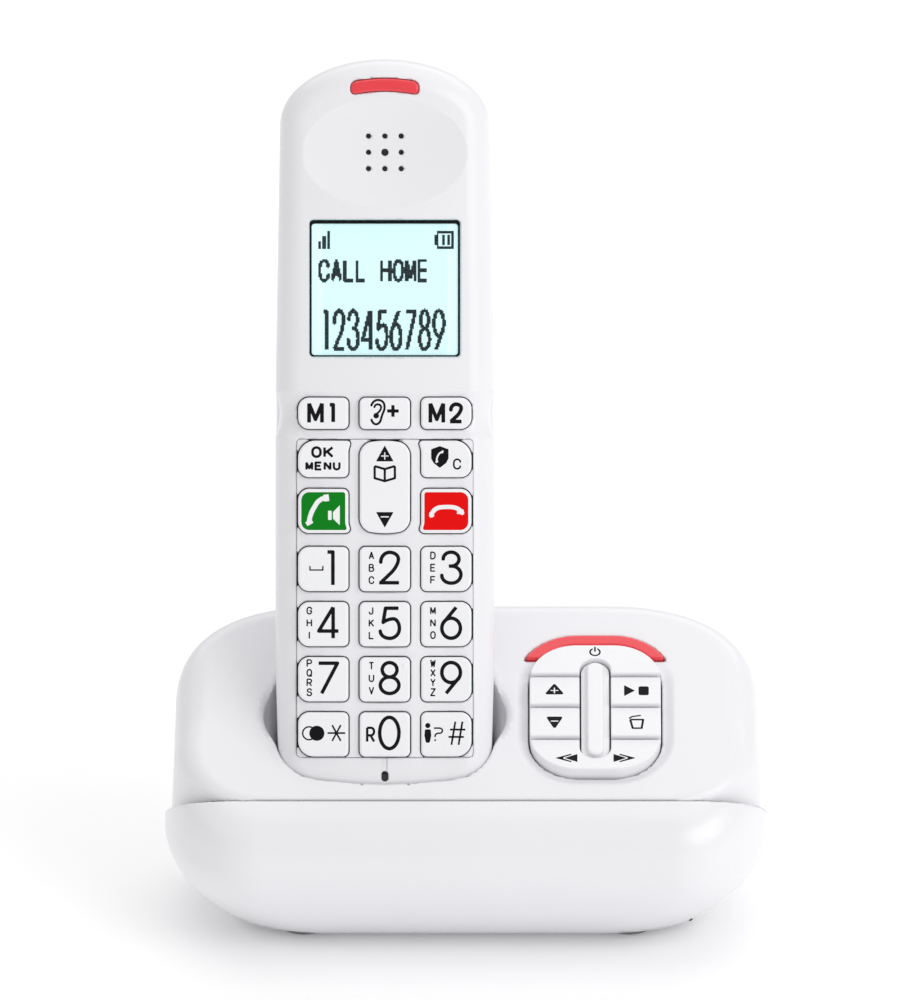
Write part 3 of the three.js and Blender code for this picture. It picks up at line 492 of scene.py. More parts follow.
def stroke(u, v, path, half):
    """The distance from a stroke with square ends, 2 * half wide, along a path."""
    points, closed = path
    nearest = 99.0
    last = len(points) - 2
    for i, (a, b) in enumerate(zip(points, points[1:])):
        length = np.hypot(*(b - a))
        if length < 1e-6:
            continue
        du, dv = (b - a) / length
        along = (u - a[0]) * du + (v - a[1]) * dv
        aside = np.abs((u - a[0]) * dv - (v - a[1]) * du)
        beyond = np.maximum(np.maximum(-along, along - length), 0)
        square = ((along < 0) & (i == 0 and not closed)) | ((along > length) & (i == last and not closed))
        away = np.where(square, np.maximum(aside, beyond + half), np.hypot(aside, beyond))
        nearest = np.minimum(nearest, away)
    return nearest - half


def blot(u, v, corners, soft=0.0):
    """The distance outside a filled shape with corners rounded to radius soft."""
    points = [np.array(c, float) for c in corners]
    nearest = 99.0
    inside = False
    for a, b in zip(points, points[1:] + points[:1]):
        share = ((u - a[0]) * (b[0] - a[0]) + (v - a[1]) * (b[1] - a[1])) / ((b - a) ** 2).sum()
        share = np.clip(share, 0, 1)
        away = np.hypot(u - a[0] - share * (b - a)[0], v - a[1] - share * (b - a)[1])
        nearest = np.minimum(nearest, away)
        crossing = (a[1] > v) != (b[1] > v)
        rise = (b - a)[1] or 1e-9
        inside = inside ^ (crossing & (u < a[0] + (v - a[1]) * (b - a)[0] / rise))
    return np.where(inside, -nearest, nearest) - soft


def text(u, v, words, left, base, wide, tall, half, pitch=0.0, drop=0.0):
    """Words from the low left corner (left, base). pitch and drop lead from letter to letter."""
    nearest = 99.0
    for i, letter in enumerate(words):
        for points, closed in GLYPHS[letter]:
            scaled = points * (wide / 4, tall / 6) + (left + i * pitch, base - i * drop)
            nearest = np.minimum(nearest, stroke(u, v, (scaled, closed), half))
    return nearest


def union(*fields):
    nearest = fields[0]
    for other in fields[1:]:
        nearest = np.minimum(nearest, other)
    return nearest


def disc(u, v, at_u, at_v, radius):
    return np.hypot(u - at_u, v - at_v) - radius


def bar(u, v, left, right, low, high):
    return np.maximum(slit(u, left, right), slit(v, low, high))


def plus(u, v, at_u, at_v, reach, half):
    return union(
        bar(u, v, at_u - reach, at_u + reach, at_v - half, at_v + half),
        bar(u, v, at_u - half, at_u + half, at_v - reach, at_v + reach),
    )


def receiver(u, v, path, ends, half=0.55, lump=0.8):
    """A telephone receiver: a bent bar with a thicker piece at each end."""
    parts = [stroke(u, v, path, half)]
    parts += [stroke(u, v, line(*end), lump) for end in ends]
    return union(*parts)


def print_film(name, mark, low, high, place, height):
    """A thin film over the shape that mark describes, lying on a flat surface at the given height."""

    def film(u, w, v):
        return np.maximum(mark(u, v), np.abs(w) - 0.24)

    thin = place @ Matrix.Translation((0, height, 0)) @ Matrix.Diagonal((1, 0.1, 1, 1))
    return mould(name, film, (low[0], -0.25, low[1]), (high[0], 0.25, high[1]), 0.12, thin)


def tiles(name, spots, half, front, back, place):
    """Small square tiles, all in one mesh, centred on spots."""
    points, faces = [], []
    for u, v in spots:
        start = len(points)
        for y in (front, back):
            points += [(u - half, y, v - half), (u + half, y, v - half)]
            points += [(u + half, y, v + half), (u - half, y, v + half)]
        faces.append([start, start + 1, start + 2, start + 3])
        faces.append([start + 7, start + 6, start + 5, start + 4])
        for i in range(4):
            j = (i + 1) % 4
            faces.append([start + j, start + i, start + 4 + i, start + 4 + j])
    mesh = bpy.data.meshes.new(name)
    mesh.from_pydata(np.array(points) * MM, [], faces)
    return put_object(name, mesh, place)


# ------------------------------------------------------------ base shells
def plan(x, d, half, front, rear):
    """The base's outline at one level: straight in front and behind, with elliptical corners."""
    ahead = d < CENTRE_D
    reach = np.where(ahead, CENTRE_D - front, rear - REAR_CORNER_D)
    corner = np.where(ahead, FRONT_CORNER, REAR_CORNER_X)
    u = np.maximum(np.abs(x) - (half - corner), 0) / corner
    v = np.where(ahead, CENTRE_D - d, np.maximum(d - REAR_CORNER_D, 0)) / reach
    out = np.maximum(np.hypot(u, v), 0.001)
    return (out - 1) * out / np.maximum(np.hypot(u / corner, v / reach), 0.00002)


def bowl(x, d, z):
    """The bowl that carries the base: it tapers in towards the table, and in front also to the lip."""
    low = np.maximum((25 - z) / 23.5, 0)
    half = BASE_HALF - 17.8 * low**1.9
    front = 18 * np.maximum((24 - z) / 22.5, 0) ** 1.9 + 9 * np.maximum((z - 24) / 15, 0) ** 3
    rear = BASE_DEPTH - 8 * np.maximum((14 - z) / 12.5, 0) ** 2
    return both(plan(x, d, half, front, rear), UNDERSIDE - z, 1.0)


def lip_height(d):
    """The parting line between the fascia and the top cover, which falls towards the rear."""
    return np.maximum(LIP_Z - (d - LIP_D) * PARTING_SLOPE, REAR_PARTING)


def foot_height(d):
    """The parting line between the fascia and the bottom cover, which rises towards the rear."""
    return np.maximum(0.246 * (d + 10) - 3.3, 11 + 1.5 * (d - 48.1))


def fascia(x, d, z):
    form = bowl(x, d, z)
    wall = both(form, -(form + WALL), 0.2)
    wall = both(wall, (z - lip_height(d) + SEAM) * 0.87, 0.3)
    return both(wall, (foot_height(d) - z) * 0.95, 0.25)


def socket_windows(x, d, z):
    nearest = 99.0
    for middle, half, low, high in SOCKETS:
        nearest = np.minimum(nearest, both(np.abs(x - middle) - half, slit(z, low, high), 0.4))
    return np.maximum(nearest, SOCKET_FRONT - d)


def bottom_cover(x, d, z):
    form = bowl(x, d, z)
    wall = both(form, -(form + WALL), 0.2)
    edges = both((z - foot_height(d) + GAP) * 0.95, z - REAR_PARTING + GAP / 2, 0.2)
    return less(both(wall, edges, 0.25), socket_windows(x, d, z), 0.2)


def dome(x, d, z):
    """The top cover's outside: leaning walls under the tilted top, which dips round the controls."""
    wall = plan(x, d, 68.8 - 0.04 * (z - 25), LIP_D, 82.7 - 0.33 * (z - REAR_PARTING))
    top = (z - panel_height(d)) * math.cos(TILT)
    px, py, _ = to_panel(x, d, z)
    dish = 1.3 * ease(-island_outline(px, py), -3.4, -0.8) * ease(-py, -BAR_LOW - 2, -5)
    return both(wall, top + dish, 1.5 + 6.5 * ease(d, LIP_D, 34))


def cradle_outline(x, y, z):
    """The cradle follows the handset's own section, a little outside it."""
    ahead = y < CRADLE_Y
    behind = y - np.where(ahead, CROWN * np.minimum(x * x, 480), 0)
    half = HALF_WIDTH + CRADLE_GAP - TAPER_DOWN * np.maximum(TAPER_Z - z, 0) / TAPER_Z
    return rectangle(x, behind - CRADLE_Y, half, CRADLE_REACH, np.where(ahead, 7.8, 10.5))


def thumb_scoop(x, y, z):
    across = (np.abs(x) - SCOOP_X) / SCOOP_WIDE
    along = (y - SCOOP_Y) / SCOOP_DEEP
    upward = (z - SCOOP_Z) / SCOOP_TALL
    return (np.sqrt(across**2 + along**2 + upward**2) - 1) * 5


def island_outline(x, y, grow=0.0):
    return rectangle(x, y, ISLAND_HALF + grow, ISLAND_REACH + grow, ISLAND_CORNER + grow)


def bar_outline(x, y, grow=0.0):
    thickness = BAR_WIDTH * (1 - 0.12 * np.clip(np.abs(x) / 18, 0, 1) ** 2)
    outside = island_outline(x, y) - BAR_INNER - thickness
    ring = both(outside - grow, BAR_INNER - grow - island_outline(x, y), 0.25)
    return both(ring, BAR_LOW - grow - y, 0.9)


def top_cover(x, d, z):
    form = dome(x, d, z)
    hx, hy, hz = to_handset(x, d, z)
    px, py, pz = to_panel(x, d, z)
    shell = both(both(form, -(form + WALL), 0.2), (lip_height(d) + SEAM - z) * 0.87, 0.3)
    outline = cradle_outline(hx, hy, hz)
    cup = both(both(outline - CRADLE_WALL, -(hz + 2.8), 0.4), form, 0.2)
    shell = either(shell, cup, 0.3)
    scoop = thumb_scoop(hx, hy, hz)
    shell = either(shell, both(scoop - CRADLE_WALL, form, 0.2), 0.3)
    shell = less(shell, both(outline, -(hz + 0.8), 1.0), 0.7)
    shell = less(shell, scoop, 2.2)
    shell = less(shell, np.maximum(island_outline(px, py, GAP), -8 - pz), 0.3)
    shell = less(shell, np.maximum(bar_outline(px, py, GAP), -8 - pz), 0.25)
    return less(shell, socket_windows(x, d, z), 0.2)


def make_base_shells():
    corner = (-71, -0.5, 1)
    piece = mould("fascia", fascia, corner, (71, 54, 40), 0.7, BASE)
    clad(piece, GLOSS_WHITE, "base", "white_shell", "base_front_fascia")
    piece = mould("bottom_cover", bottom_cover, corner, (71, 85, 16), 0.8, BASE)
    clad(piece, SATIN_WHITE, "base", "white_shell", "base_bottom_cover")
    piece = mould("top_cover", top_cover, (-70, 8, 13), (70, 84, 70), 0.6, BASE)
    clad(piece, SATIN_WHITE, "base", "white_shell", "base_top_cover")


# ------------------------------------------------------------ handset shells
def belt(z):
    """How deep the waist round the handset is at this height."""
    return BELT_DEPTH * np.maximum(1 - ((z - BELT_Z) / BELT_HALF) ** 2, 0)


def face(x, z):
    """How far the front surface lies behind the plane of the face."""
    dish = EAR_DEPTH * np.maximum(1 - (x / EAR_HALF_X) ** 2 - ((z - EAR_Z) / EAR_HALF_Z) ** 2, 0)
    groove = 0.35 * ease(-np.abs(x), -0.7, -0.45) * ease(z, 7, 7.4) * ease(-z, -10.9, -10.6)
    return CROWN * x * x + belt(z) + dish + groove


def silhouette(x, z, waist=1.0):
    """The handset seen from the front, with a domed top and slightly drawn in at both ends."""
    half = HALF_WIDTH - TAPER_UP * np.clip((z - 95) / 64, 0, 1)
    half = half - TAPER_DOWN * np.maximum(TAPER_Z - z, 0) / TAPER_Z - waist * belt(z)
    top = LENGTH - TOP_DOME
    u, v = np.abs(x) / half, np.maximum(z - top, 0) / TOP_DOME
    out = np.maximum(np.hypot(u, v), 0.001)
    side = (out - 1) * out / np.maximum(np.hypot(u / half, v / TOP_DOME), 0.00004)
    return both(side, 0.0035 * x * x - z, 8.5)


def handset(x, y, z):
    form = both(silhouette(x, z, 1 - ease(y, 12, 19)), face(x, z) - y, 6)
    return both(form, y - THICKNESS + 0.002 * x * x, 9)


def front_cover(x, y, z):
    form = handset(x, y, z)
    shell = both(both(form, -(form + 2), 0.2), y - PARTING_Y + 0.1, 0.25)
    return less(shell, face_openings(x, z), 0.2)


def ear_holes(x, z):
    nearest = 99.0
    for column in (-1, 0, 1):
        for row in (-1, 0, 1):
            radius = 0.62 if column or row else 0.85
            away = np.hypot(x - column * EAR_PITCH, z - EAR_Z - row * EAR_PITCH) - radius
            nearest = np.minimum(nearest, away)
    return nearest


def light_outline(x, z, grow=0.0):
    arched = z + LIGHT_ARCH * x * x
    return rectangle(x, arched - LIGHT_Z, LIGHT_HALF + grow, LIGHT_HALF_TALL + grow, 1.2 + grow)


def window_outline(x, z, grow=0.0):
    return rectangle(x, z - WINDOW_MIDDLE, WINDOW_HALF + grow, WINDOW_REACH + grow, 0.9 + grow)


def frame_outline(x, z, grow=0.0):
    middle = (FRAME_LOW + FRAME_HIGH) / 2
    return rectangle(x, z - middle, FRAME_HALF + grow, (FRAME_HIGH - FRAME_LOW) / 2 + grow, 1.0 + grow)


def face_openings(x, z):
    cuts = [
        ear_holes(x, z),
        light_outline(x, z, 0.15),
        window_outline(x, z, 0.15),
        frame_outline(x, z, SEAM),
        rectangle(x, z - MIC_Z, 0.8, 1.2, 0.7),
    ]
    cuts += [key_outline(key, x, z, KEY_GAP) for key in KEYS if is_memory(key)]
    return union(*cuts)


# Key: name, column, low end, high end, corner radii low right, high right, high left, low left.
SMALL, LARGE = 1.3, 2.6
KEYS = [
    ("memory_1", -1, 87.4, 94.7, SMALL, SMALL, LARGE, LARGE),
    ("volume_boost", 0, 87.4, 94.7, SMALL, SMALL, SMALL, SMALL),
    ("memory_2", 1, 87.4, 94.7, LARGE, LARGE, SMALL, SMALL),
    ("ok_menu", -1, 76.2, 84.7, SMALL, 0.8, 4, LARGE),
    ("clear_block", 1, 76.2, 84.7, LARGE, 4, 0.8, SMALL),
    ("navigation", 0, 63.2, 84.7, 2.5, 2.5, 2.5, 2.5),
    ("talk", -1, 63.2, 73.5, SMALL, SMALL, LARGE, LARGE),
    ("hang_up", 1, 63.2, 73.5, LARGE, LARGE, SMALL, SMALL),
]
DIGITS = ["1", "2", "3", "4", "5", "6", "7", "8", "9", "star", "0", "hash"]
for i, label in enumerate(DIGITS):
    row, column = i // 3, i % 3 - 1
    low = 49.7 - 12.83 * row
    outer_low = 3.6 if row == 3 else LARGE
    radii = {
        -1: (SMALL, SMALL, LARGE, outer_low),
        0: (SMALL, SMALL, SMALL, SMALL),
        1: (outer_low, LARGE, SMALL, SMALL),
    }[column]
    KEYS.append((f"digit_{label}", column, low, low + 10.3, *radii))


def is_memory(key):
    """Whether a key stands in the top row, above the inset frame."""
    return key[2] > FRAME_HIGH


# The keys beside the long middle key flare at this corner: sideways, upwards.
FLARES = {"ok_menu": (1, 1), "clear_block": (-1, 1), "talk": (1, -1), "hang_up": (-1, -1)}


def key_outline(key, x, z, grow=0.0):
    name, column, low, high, low_right, high_right, high_left, low_left = key
    u, v = x - column * COLUMN, z - (low + high) / 2
    if name == "navigation":
        v = np.abs(v) + 0.9 * (u / KEY_HALF) ** 2
    if name in FLARES:
        side, end = FLARES[name]
        reach = (high - low) / 2
        u = u - side * 0.45 * ease(end * v, reach - 2.6, reach - 0.4) * ease(side * u, 0, 3)
    radius = np.where(
        u > 0, np.where(v > 0, high_right, low_right), np.where(v > 0, high_left, low_left)
    )
    return rectangle(u, v, KEY_HALF + grow, (high - low) / 2 + grow, radius + grow)


def keypad_frame(x, y, z):
    surface = face(x, z)
    plate = both(both(surface - y, y - surface - 2, 0.2), frame_outline(x, z), 0.15)
    openings = union(*[key_outline(key, x, z, KEY_GAP) for key in KEYS if not is_memory(key)])
    return less(plate, openings, 0.2)


def door_outline(x, z, low, grow=0.0):
    middle = (low + DOOR_HIGH) / 2
    return rectangle(x, z - middle, DOOR_HALF + grow, (DOOR_HIGH - low) / 2 + grow, 2.5)


def rear_cover(x, y, z):
    form = handset(x, y, z)
    shell = both(both(form, -(form + 3.4), 0.2), PARTING_Y + 0.1 - y, 0.25)
    bay = rectangle(x, z - BAY_Z, BAY_HALF, BAY_REACH, 0.5)
    tub = both(both(bay - 1.4, 11.8 - y, 0.3), form + 3, 0.2)
    shell = either(shell, tub, 0.3)
    recess = both(door_outline(x, z, DOOR_LOW - DOOR_TRAVEL, GAP), -(form + DOOR_SKIN + GAP), 0.2)
    shell = less(shell, np.maximum(recess, 16 - y), 0.25)
    shell = less(shell, np.maximum(bay, 13.2 - y), 0.3)
    slots = np.abs(np.mod(z - 139.8 + 1.3, 2.6) - 1.3) - 0.6
    slots = both(both(slots, slit(z, 133, 146.5), 0.2), np.abs(x) - 7, 0.6)
    return less(shell, np.maximum(slots, 18 - y), 0.2)


def battery_door(x, y, z):
    form = handset(x, y, z)
    skin = both(both(form, -(form + DOOR_SKIN), 0.2), door_outline(x, z, DOOR_LOW), 0.25)
    grip = both(np.abs(np.mod(z - 97.5 + 1.1, 2.2) - 1.1) - 0.5, slit(z, 96.5, 104.8), 0.2)
    grip = both(both(grip, np.abs(x) - 7, 0.3), THICKNESS - 0.5 - y, 0.2)
    return np.maximum(less(skin, grip, 0.2), 17 - y)


def make_handset_shells():
    low, high = (-26, -0.2, -0.5), (26, 15.5, 174)
    piece = mould("front_cover", front_cover, low, high, 0.45, HANDSET)
    clad(piece, SATIN_WHITE, "handset", "white_shell", "handset_front_cover")
    piece = mould("keypad_frame", keypad_frame, (-21.5, -0.2, 10.5), (21.5, 5, 85.5), 0.4, HANDSET)
    clad(piece, SATIN_WHITE, "handset", "white_shell", "keypad_frame")
    piece = mould("rear_cover", rear_cover, (-26, 11, -0.5), (26, 27.5, 174), 0.6, HANDSET)
    clad(piece, SATIN_WHITE, "handset", "white_shell", "handset_rear_cover")
    piece = mould("battery_door", battery_door, (-20, 16, 47), (20, 27.5, 109), 0.6, HANDSET)
    clad(piece, SATIN_WHITE, "battery_door", "white_shell", "battery_door")


# ------------------------------------------------------------ control island
def rib_outline(x, y, grow=0.0):
    reach = (RIB_HIGH - RIB_LOW) / 2 + grow
    return rectangle(x, y - (RIB_HIGH + RIB_LOW) / 2, RIB_HALF + grow, reach, RIB_HALF + grow)


# Each control key fills one cell of the island: left, right, low and high edge.
FAR = 40
HALF_GAP = ROW_GAP / 2
UPPER = (ROWS[1] + HALF_GAP, ROWS[0] - HALF_GAP)
LOWER = (ROWS[2] + HALF_GAP, ROWS[1] - HALF_GAP)
CELLS = {
    "answer_on_key": (-FAR, FAR, ROWS[0] + HALF_GAP, FAR),
    "volume_up_key": (-FAR, 0, *UPPER),
    "play_stop_key": (0, FAR, *UPPER),
    "volume_down_key": (-FAR, 0, *LOWER),
    "delete_key": (0, FAR, *LOWER),
    "skip_rocker": (-FAR, FAR, -FAR, ROWS[2] - HALF_GAP),
}


def low_edge(cell):
    return max(cell[2], -ISLAND_REACH)


def control_key(cell):
    """Like a shingle: its top is highest along its lower edge."""

    def form(x, y, z):
        block = both(island_outline(x, y), bar(x, y, *cell), 0.35)
        block = both(block, -rib_outline(x, y, 0.35), 0.35)
        top = (z - ISLAND_PROUD) * math.cos(KEY_FALL) + (y - low_edge(cell)) * math.sin(KEY_FALL)
        return both(both(block, top, 0.35), -ISLAND_FOOT - z, 0.1)

    return form


def control_rib(x, y, z):
    floor = both(both(rib_outline(x, y), z - 0.4, 0.15), -3.2 - z, 0.1)
    ridge = rectangle(x, y - (RIDGE_LOW + RIDGE_HIGH) / 2, 1.9, (RIDGE_HIGH - RIDGE_LOW) / 2, 1.85)
    return either(floor, both(both(ridge, z - 2.2, 0.6), -z, 0.1), 0.25)


def base_light_bar(x, y, z):
    return both(both(bar_outline(x, y), z - 0.6, 0.55), -3.6 - z, 0.2)


def power_sign(u, v):
    ring = np.abs(np.hypot(u, v - 16.7) - 1.15) - 0.2
    gap = bar(u, v, -0.5, 0.5, 17, 19)
    return union(np.maximum(ring, -gap), bar(u, v, -0.19, 0.19, 16.8, 18.4))


def up_sign(u, v):
    arrow = blot(u, v, [(-11.2, 3.9), (-7.8, 3.9), (-9.5, 6.6)], 0.35)
    return np.maximum(arrow, -plus(u, v, -9.5, 4.85, 0.95, 0.15))


def down_sign(u, v):
    arrow = blot(u, v, [(-10.9, -3.3), (-8.1, -3.3), (-9.5, -6.2)], 0.4)
    return np.maximum(arrow, -bar(u, v, -10.4, -8.6, -4.55, -4.2))


def play_sign(u, v):
    arrow = blot(u, v, [(6.85, 3.2), (9.1, 4.8), (6.85, 6.4)], 0.1)
    return union(arrow, rectangle(u - 11.3, v - 4.75, 1.2, 1.45, 0.5))


def bin_sign(u, v):
    can = line((8.15, -3.9), (11.15, -3.9), (10.8, -6.7), (8.7, -6.7), (8.15, -3.9))
    lid = line((7.9, -3.5), (8.6, -2.9), (10.6, -2.5))
    return union(stroke(u, v, can, 0.25), stroke(u, v, lid, 0.2))


def skip_sign(u, v):
    across = np.abs(u)
    solid = blot(across, v, [(4.2, -16.9), (4.2, -14.3), (7.2, -15.6)])
    ahead = blot(across, v, [(5.6, -17.0), (9.4, -15.6), (5.6, -14.2)])
    return union(solid, np.maximum(ahead, 0.3 - solid))


# Control key: its sign, and the low and high corner of the sign's box on the panel.
CONTROL_SIGNS = {
    "answer_on_key": (power_sign, (-2, 15.2), (2, 18.8)),
    "volume_up_key": (up_sign, (-11.9, 3.3), (-7.1, 7.2)),
    "volume_down_key": (down_sign, (-11.6, -6.9), (-7.4, -2.7)),
    "play_stop_key": (play_sign, (6.5, 2.9), (12.8, 6.8)),
    "delete_key": (bin_sign, (7.5, -7.2), (11.8, -2.1)),
    "skip_rocker": (skip_sign, (-9.6, -17.3), (9.6, -13.9)),
}
# Turns a film that lies in the plane of x and z so that it lies on the panel.
OUTWARD = Matrix(((1, 0, 0, 0), (0, 0, 1, 0), (0, -1, 0, 0), (0, 0, 0, 1)))


def make_controls():
    for name, cell in CELLS.items():
        left, right, low, high = cell
        corner_low = (max(left, -16), max(low, -20) - 0.3, -2.7)
        corner_high = (min(right, 16), min(high, 20) + 0.3, 2.2)
        piece = mould(f"cap_{name}", control_key(cell), corner_low, corner_high, 0.25, PANEL)
        clad(piece, KEY_WHITE, name, "white_keys", name)
        sign, sign_low, sign_high = CONTROL_SIGNS[name]
        edge = low_edge(cell)
        top = Matrix.Translation((0, edge, ISLAND_PROUD)) @ Matrix.Rotation(-KEY_FALL, 4, "X")
        top = PANEL @ top @ OUTWARD @ Matrix.Translation((0, 0, -edge))
        piece = print_film(f"sign_{name}", sign, sign_low, sign_high, top, 0)
        clad(piece, INK, name, "black_plastic")
    piece = mould("rib", control_rib, (-4.3, -16, -3.4), (4.3, 15.3, 2.4), 0.25, PANEL)
    clad(piece, KEY_WHITE, "base", "white_keys", "control_rib")
    piece = mould("answer_light", base_light_bar, (-19.5, 13, -3.8), (19.5, 23, 0.8), 0.25, PANEL)
    clad(piece, RED_LENS, "base", "red_lens", "base_light_bar")


# ------------------------------------------------------------ handset keys
def key_top(key):
    return CROWN * (key[1] * COLUMN) ** 2 + (0.6 if is_memory(key) else 0) - KEY_PROUD


def key_cap(key):
    def form(x, y, z):
        return both(both(key_outline(key, x, z), key_top(key) - y, 0.55), y - KEY_FOOT, 0.2)

    return form


# Signs on the keys, in a frame whose origin is the middle of the key's top.
def ear_sign(u, v):
    lobe = ((-0.7, -0.4), (-1.1, -2.4), (-2.8, -2.6), (-3.1, -1.4))
    rim = curve(1.2, (-3.1, 1.9), (-2.9, 3.0), (-0.6, 3.3), (0.2, 1.4), *lobe)
    fold = curve(0.9, (-2.4, 1.5), (-2.3, 2.2), (-0.9, 2.1), (-0.8, 0.9), (-2.0, -0.2))
    return union(
        stroke(u, v, rim, 0.26),
        stroke(u, v, fold, 0.24),
        disc(u, v, -2.0, -0.5, 0.65),
        plus(u, v, 1.9, 0.6, 1.35, 0.38),
    )


def ok_sign(u, v):
    return union(
        text(u, v, "OK", -2.5, 0.55, 1.85, 2.15, 0.3, pitch=2.8),
        text(u, v, "MENU", -3.9, -2.4, 1.3, 1.6, 0.26, pitch=2.12),
    )


def shield_sign(u, v):
    left_side = [(-1.5, 2.9), (-3.4, 2.2), (-3.4, 0.2), (-2.9, -0.8)]
    right_side = [(-1.5, -1.9), (-0.1, -0.8), (0.4, 0.2), (0.4, 2.2)]
    shield = blot(u, v, left_side + right_side, 0.12)
    handle = curve(0.6, (-0.9, 1.7), (-1.6, 1.5), (-2.3, 0.1), (-2.2, -0.6))
    ends = [((-1.1, 1.75), (-0.7, 1.6)), ((-2.3, -0.4), (-2.1, -0.8))]
    phone = receiver(u, v, handle, ends, 0.2, 0.32)
    return union(np.maximum(shield, -phone), text(u, v, "C", 1.75, -2.25, 1.5, 2.2, 0.2))


def navigation_sign(u, v):
    up = blot(u, v, [(-1.95, 6.05), (1.95, 6.05), (0, 9.6)], 0.05)
    up = np.maximum(up, -plus(u, v, 0, 7.25, 0.85, 0.13))
    down = blot(u, v, [(-1.95, -5.85), (1.95, -5.85), (0, -9.3)], 0.05)
    down = np.maximum(down, -bar(u, v, -0.95, 0.95, -7.05, -6.75))
    page = line((2.35, 4.9), (0, 4.2), (0, 1.4), (2.35, 2.1), (2.35, 4.9))
    return union(up, down, stroke(np.abs(u), v, page, 0.27))


def space_sign(u, v):
    return union(
        stroke(u, v, line((-3.1, 0.75), (-3.1, -0.2), (-0.1, -0.2), (-0.1, 0.75)), 0.16),
        text(u, v, "1", -0.6, -3.65, 4.2, 7.9, DIGIT_STROKE),
    )


def star_sign(u, v):
    moon = np.maximum(np.abs(disc(u, v, -3.3, 0.3, 1.5)) - 0.17, -disc(u, v, -1.5, 0.3, 1.75))
    star = stroke(u, v, line((1.0, 0.35), (5.1, 0.35)), 0.2)
    for side in (-1, 1):
        star = np.minimum(star, stroke(u, v, line((3.05 - side, -1.5), (3.05 + side, 2.2)), 0.2))
    return union(moon, disc(u, v, -1.5, 0.3, 1.75), star)


def zero_sign(u, v):
    return union(
        text(u, v, "R", -4.1, -1.6, 1.6, 3.2, 0.28),
        text(u, v, "0", -1.2, -3.25, 4.5, 7.3, DIGIT_STROKE),
    )


def hash_sign(u, v):
    coat = [(-4.7, 0.9), (-3.9, 0.9), (-3.8, -0.2), (-4.1, -1.6), (-4.5, -1.6), (-4.8, -0.2)]
    person = union(disc(u, v, -4.3, 2.1, 0.6), blot(u, v, coat, 0.3))
    query = curve(0.7, (-2.9, 1.5), (-0.9, 1.5), (-0.9, 0.3), (-2.6, 0.3), (-2.6, -0.6))
    grid = [line((2.1, 3.0), (1.2, -2.4)), line((3.75, 3.0), (2.85, -2.4))]
    grid += [line((0.85, 1.15), (4.4, 1.15)), line((0.5, -0.55), (4.1, -0.55))]
    parts = [stroke(u, v, rod, SIGN_STROKE) for rod in grid]
    return union(person, stroke(u, v, query, 0.18), bar(u, v, -2.8, -2.4, -1.5, -1.1), *parts)


def talk_sign(u, v):
    handle = curve(1.6, (0.9, 3.1), (-0.8, 3.1), (-3.2, -1.0), (-3.3, -2.6))
    horn = receiver(u, v, handle, [((0.1, 3.0), (1.3, 3.15)), ((-3.5, -2.2), (-3.0, -3.1))])
    speaker = union(
        blot(u, v, [(2.25, -0.25), (3.85, 1.4), (3.85, -3.3), (2.25, -1.75)]),
        bar(u, v, 1.1, 1.95, -2.05, 0.1),
    )
    return union(horn, speaker)


def hang_up_sign(u, v):
    bow = curve(1.8, (-3.5, -1.0), (-3.2, 0.6), (0, 1.1), (3.2, 0.7), (3.7, -0.4))
    return receiver(u, v, bow, [((-3.9, -0.9), (-2.9, -0.7)), ((2.5, -0.1), (4.0, -0.2))], 0.5, 0.55)


LETTER_GROUPS = ("ABC", "DEF", "GHI", "JKL", "MNO", "PQRS", "TUV", "WXYZ")
KEY_LETTERS = {str(digit): letters for digit, letters in enumerate(LETTER_GROUPS, 2)}


def digit_sign(digit):
    """A large digit with its letters in a column to the left of it."""
    letters = KEY_LETTERS[digit]
    side = -3.75 if digit in "47" else -3.6
    first, drop = (3.0, 2.25) if len(letters) == 4 else (2.4, 2.85)

    def mark(u, v):
        big = text(u, v, digit, -1.05, -3.25, 4.45, 7.2, DIGIT_STROKE)
        return union(big, text(u, v, letters, side, first, 1.0, 1.55, LETTER_STROKE, drop=drop))

    return mark


def memory_sign(digit):
    def mark(u, v):
        left, right = (-3.3, 0.55) if digit == "1" else (-3.7, 1.0)
        number = text(u, v, digit, right, -1.95, 2.6, 4.1, BOLD_STROKE)
        return union(text(u, v, "M", left, -2.1, 3.0, 4.4, BOLD_STROKE), number)

    return mark


KEY_SIGNS = {
    "memory_1": memory_sign("1"),
    "volume_boost": ear_sign,
    "memory_2": memory_sign("2"),
    "ok_menu": ok_sign,
    "clear_block": shield_sign,
    "navigation": navigation_sign,
    "digit_1": space_sign,
    "digit_star": star_sign,
    "digit_0": zero_sign,
    "digit_hash": hash_sign,
}
KEY_SIGNS.update({f"digit_{digit}": digit_sign(digit) for digit in KEY_LETTERS})
COLOURED = {"talk": (talk_sign, GREEN_FILM, "green_key"), "hang_up": (hang_up_sign, RED_FILM, "red_key")}


def coloured_field(key, sign):
    """A coloured film inside a white border, with the sign left white."""
    middle_x, middle_z = key[1] * COLUMN, (key[2] + key[3]) / 2

    def mark(u, v):
        return np.maximum(key_outline(key, u + middle_x, v + middle_z, -0.75), -sign(u, v))

    return mark


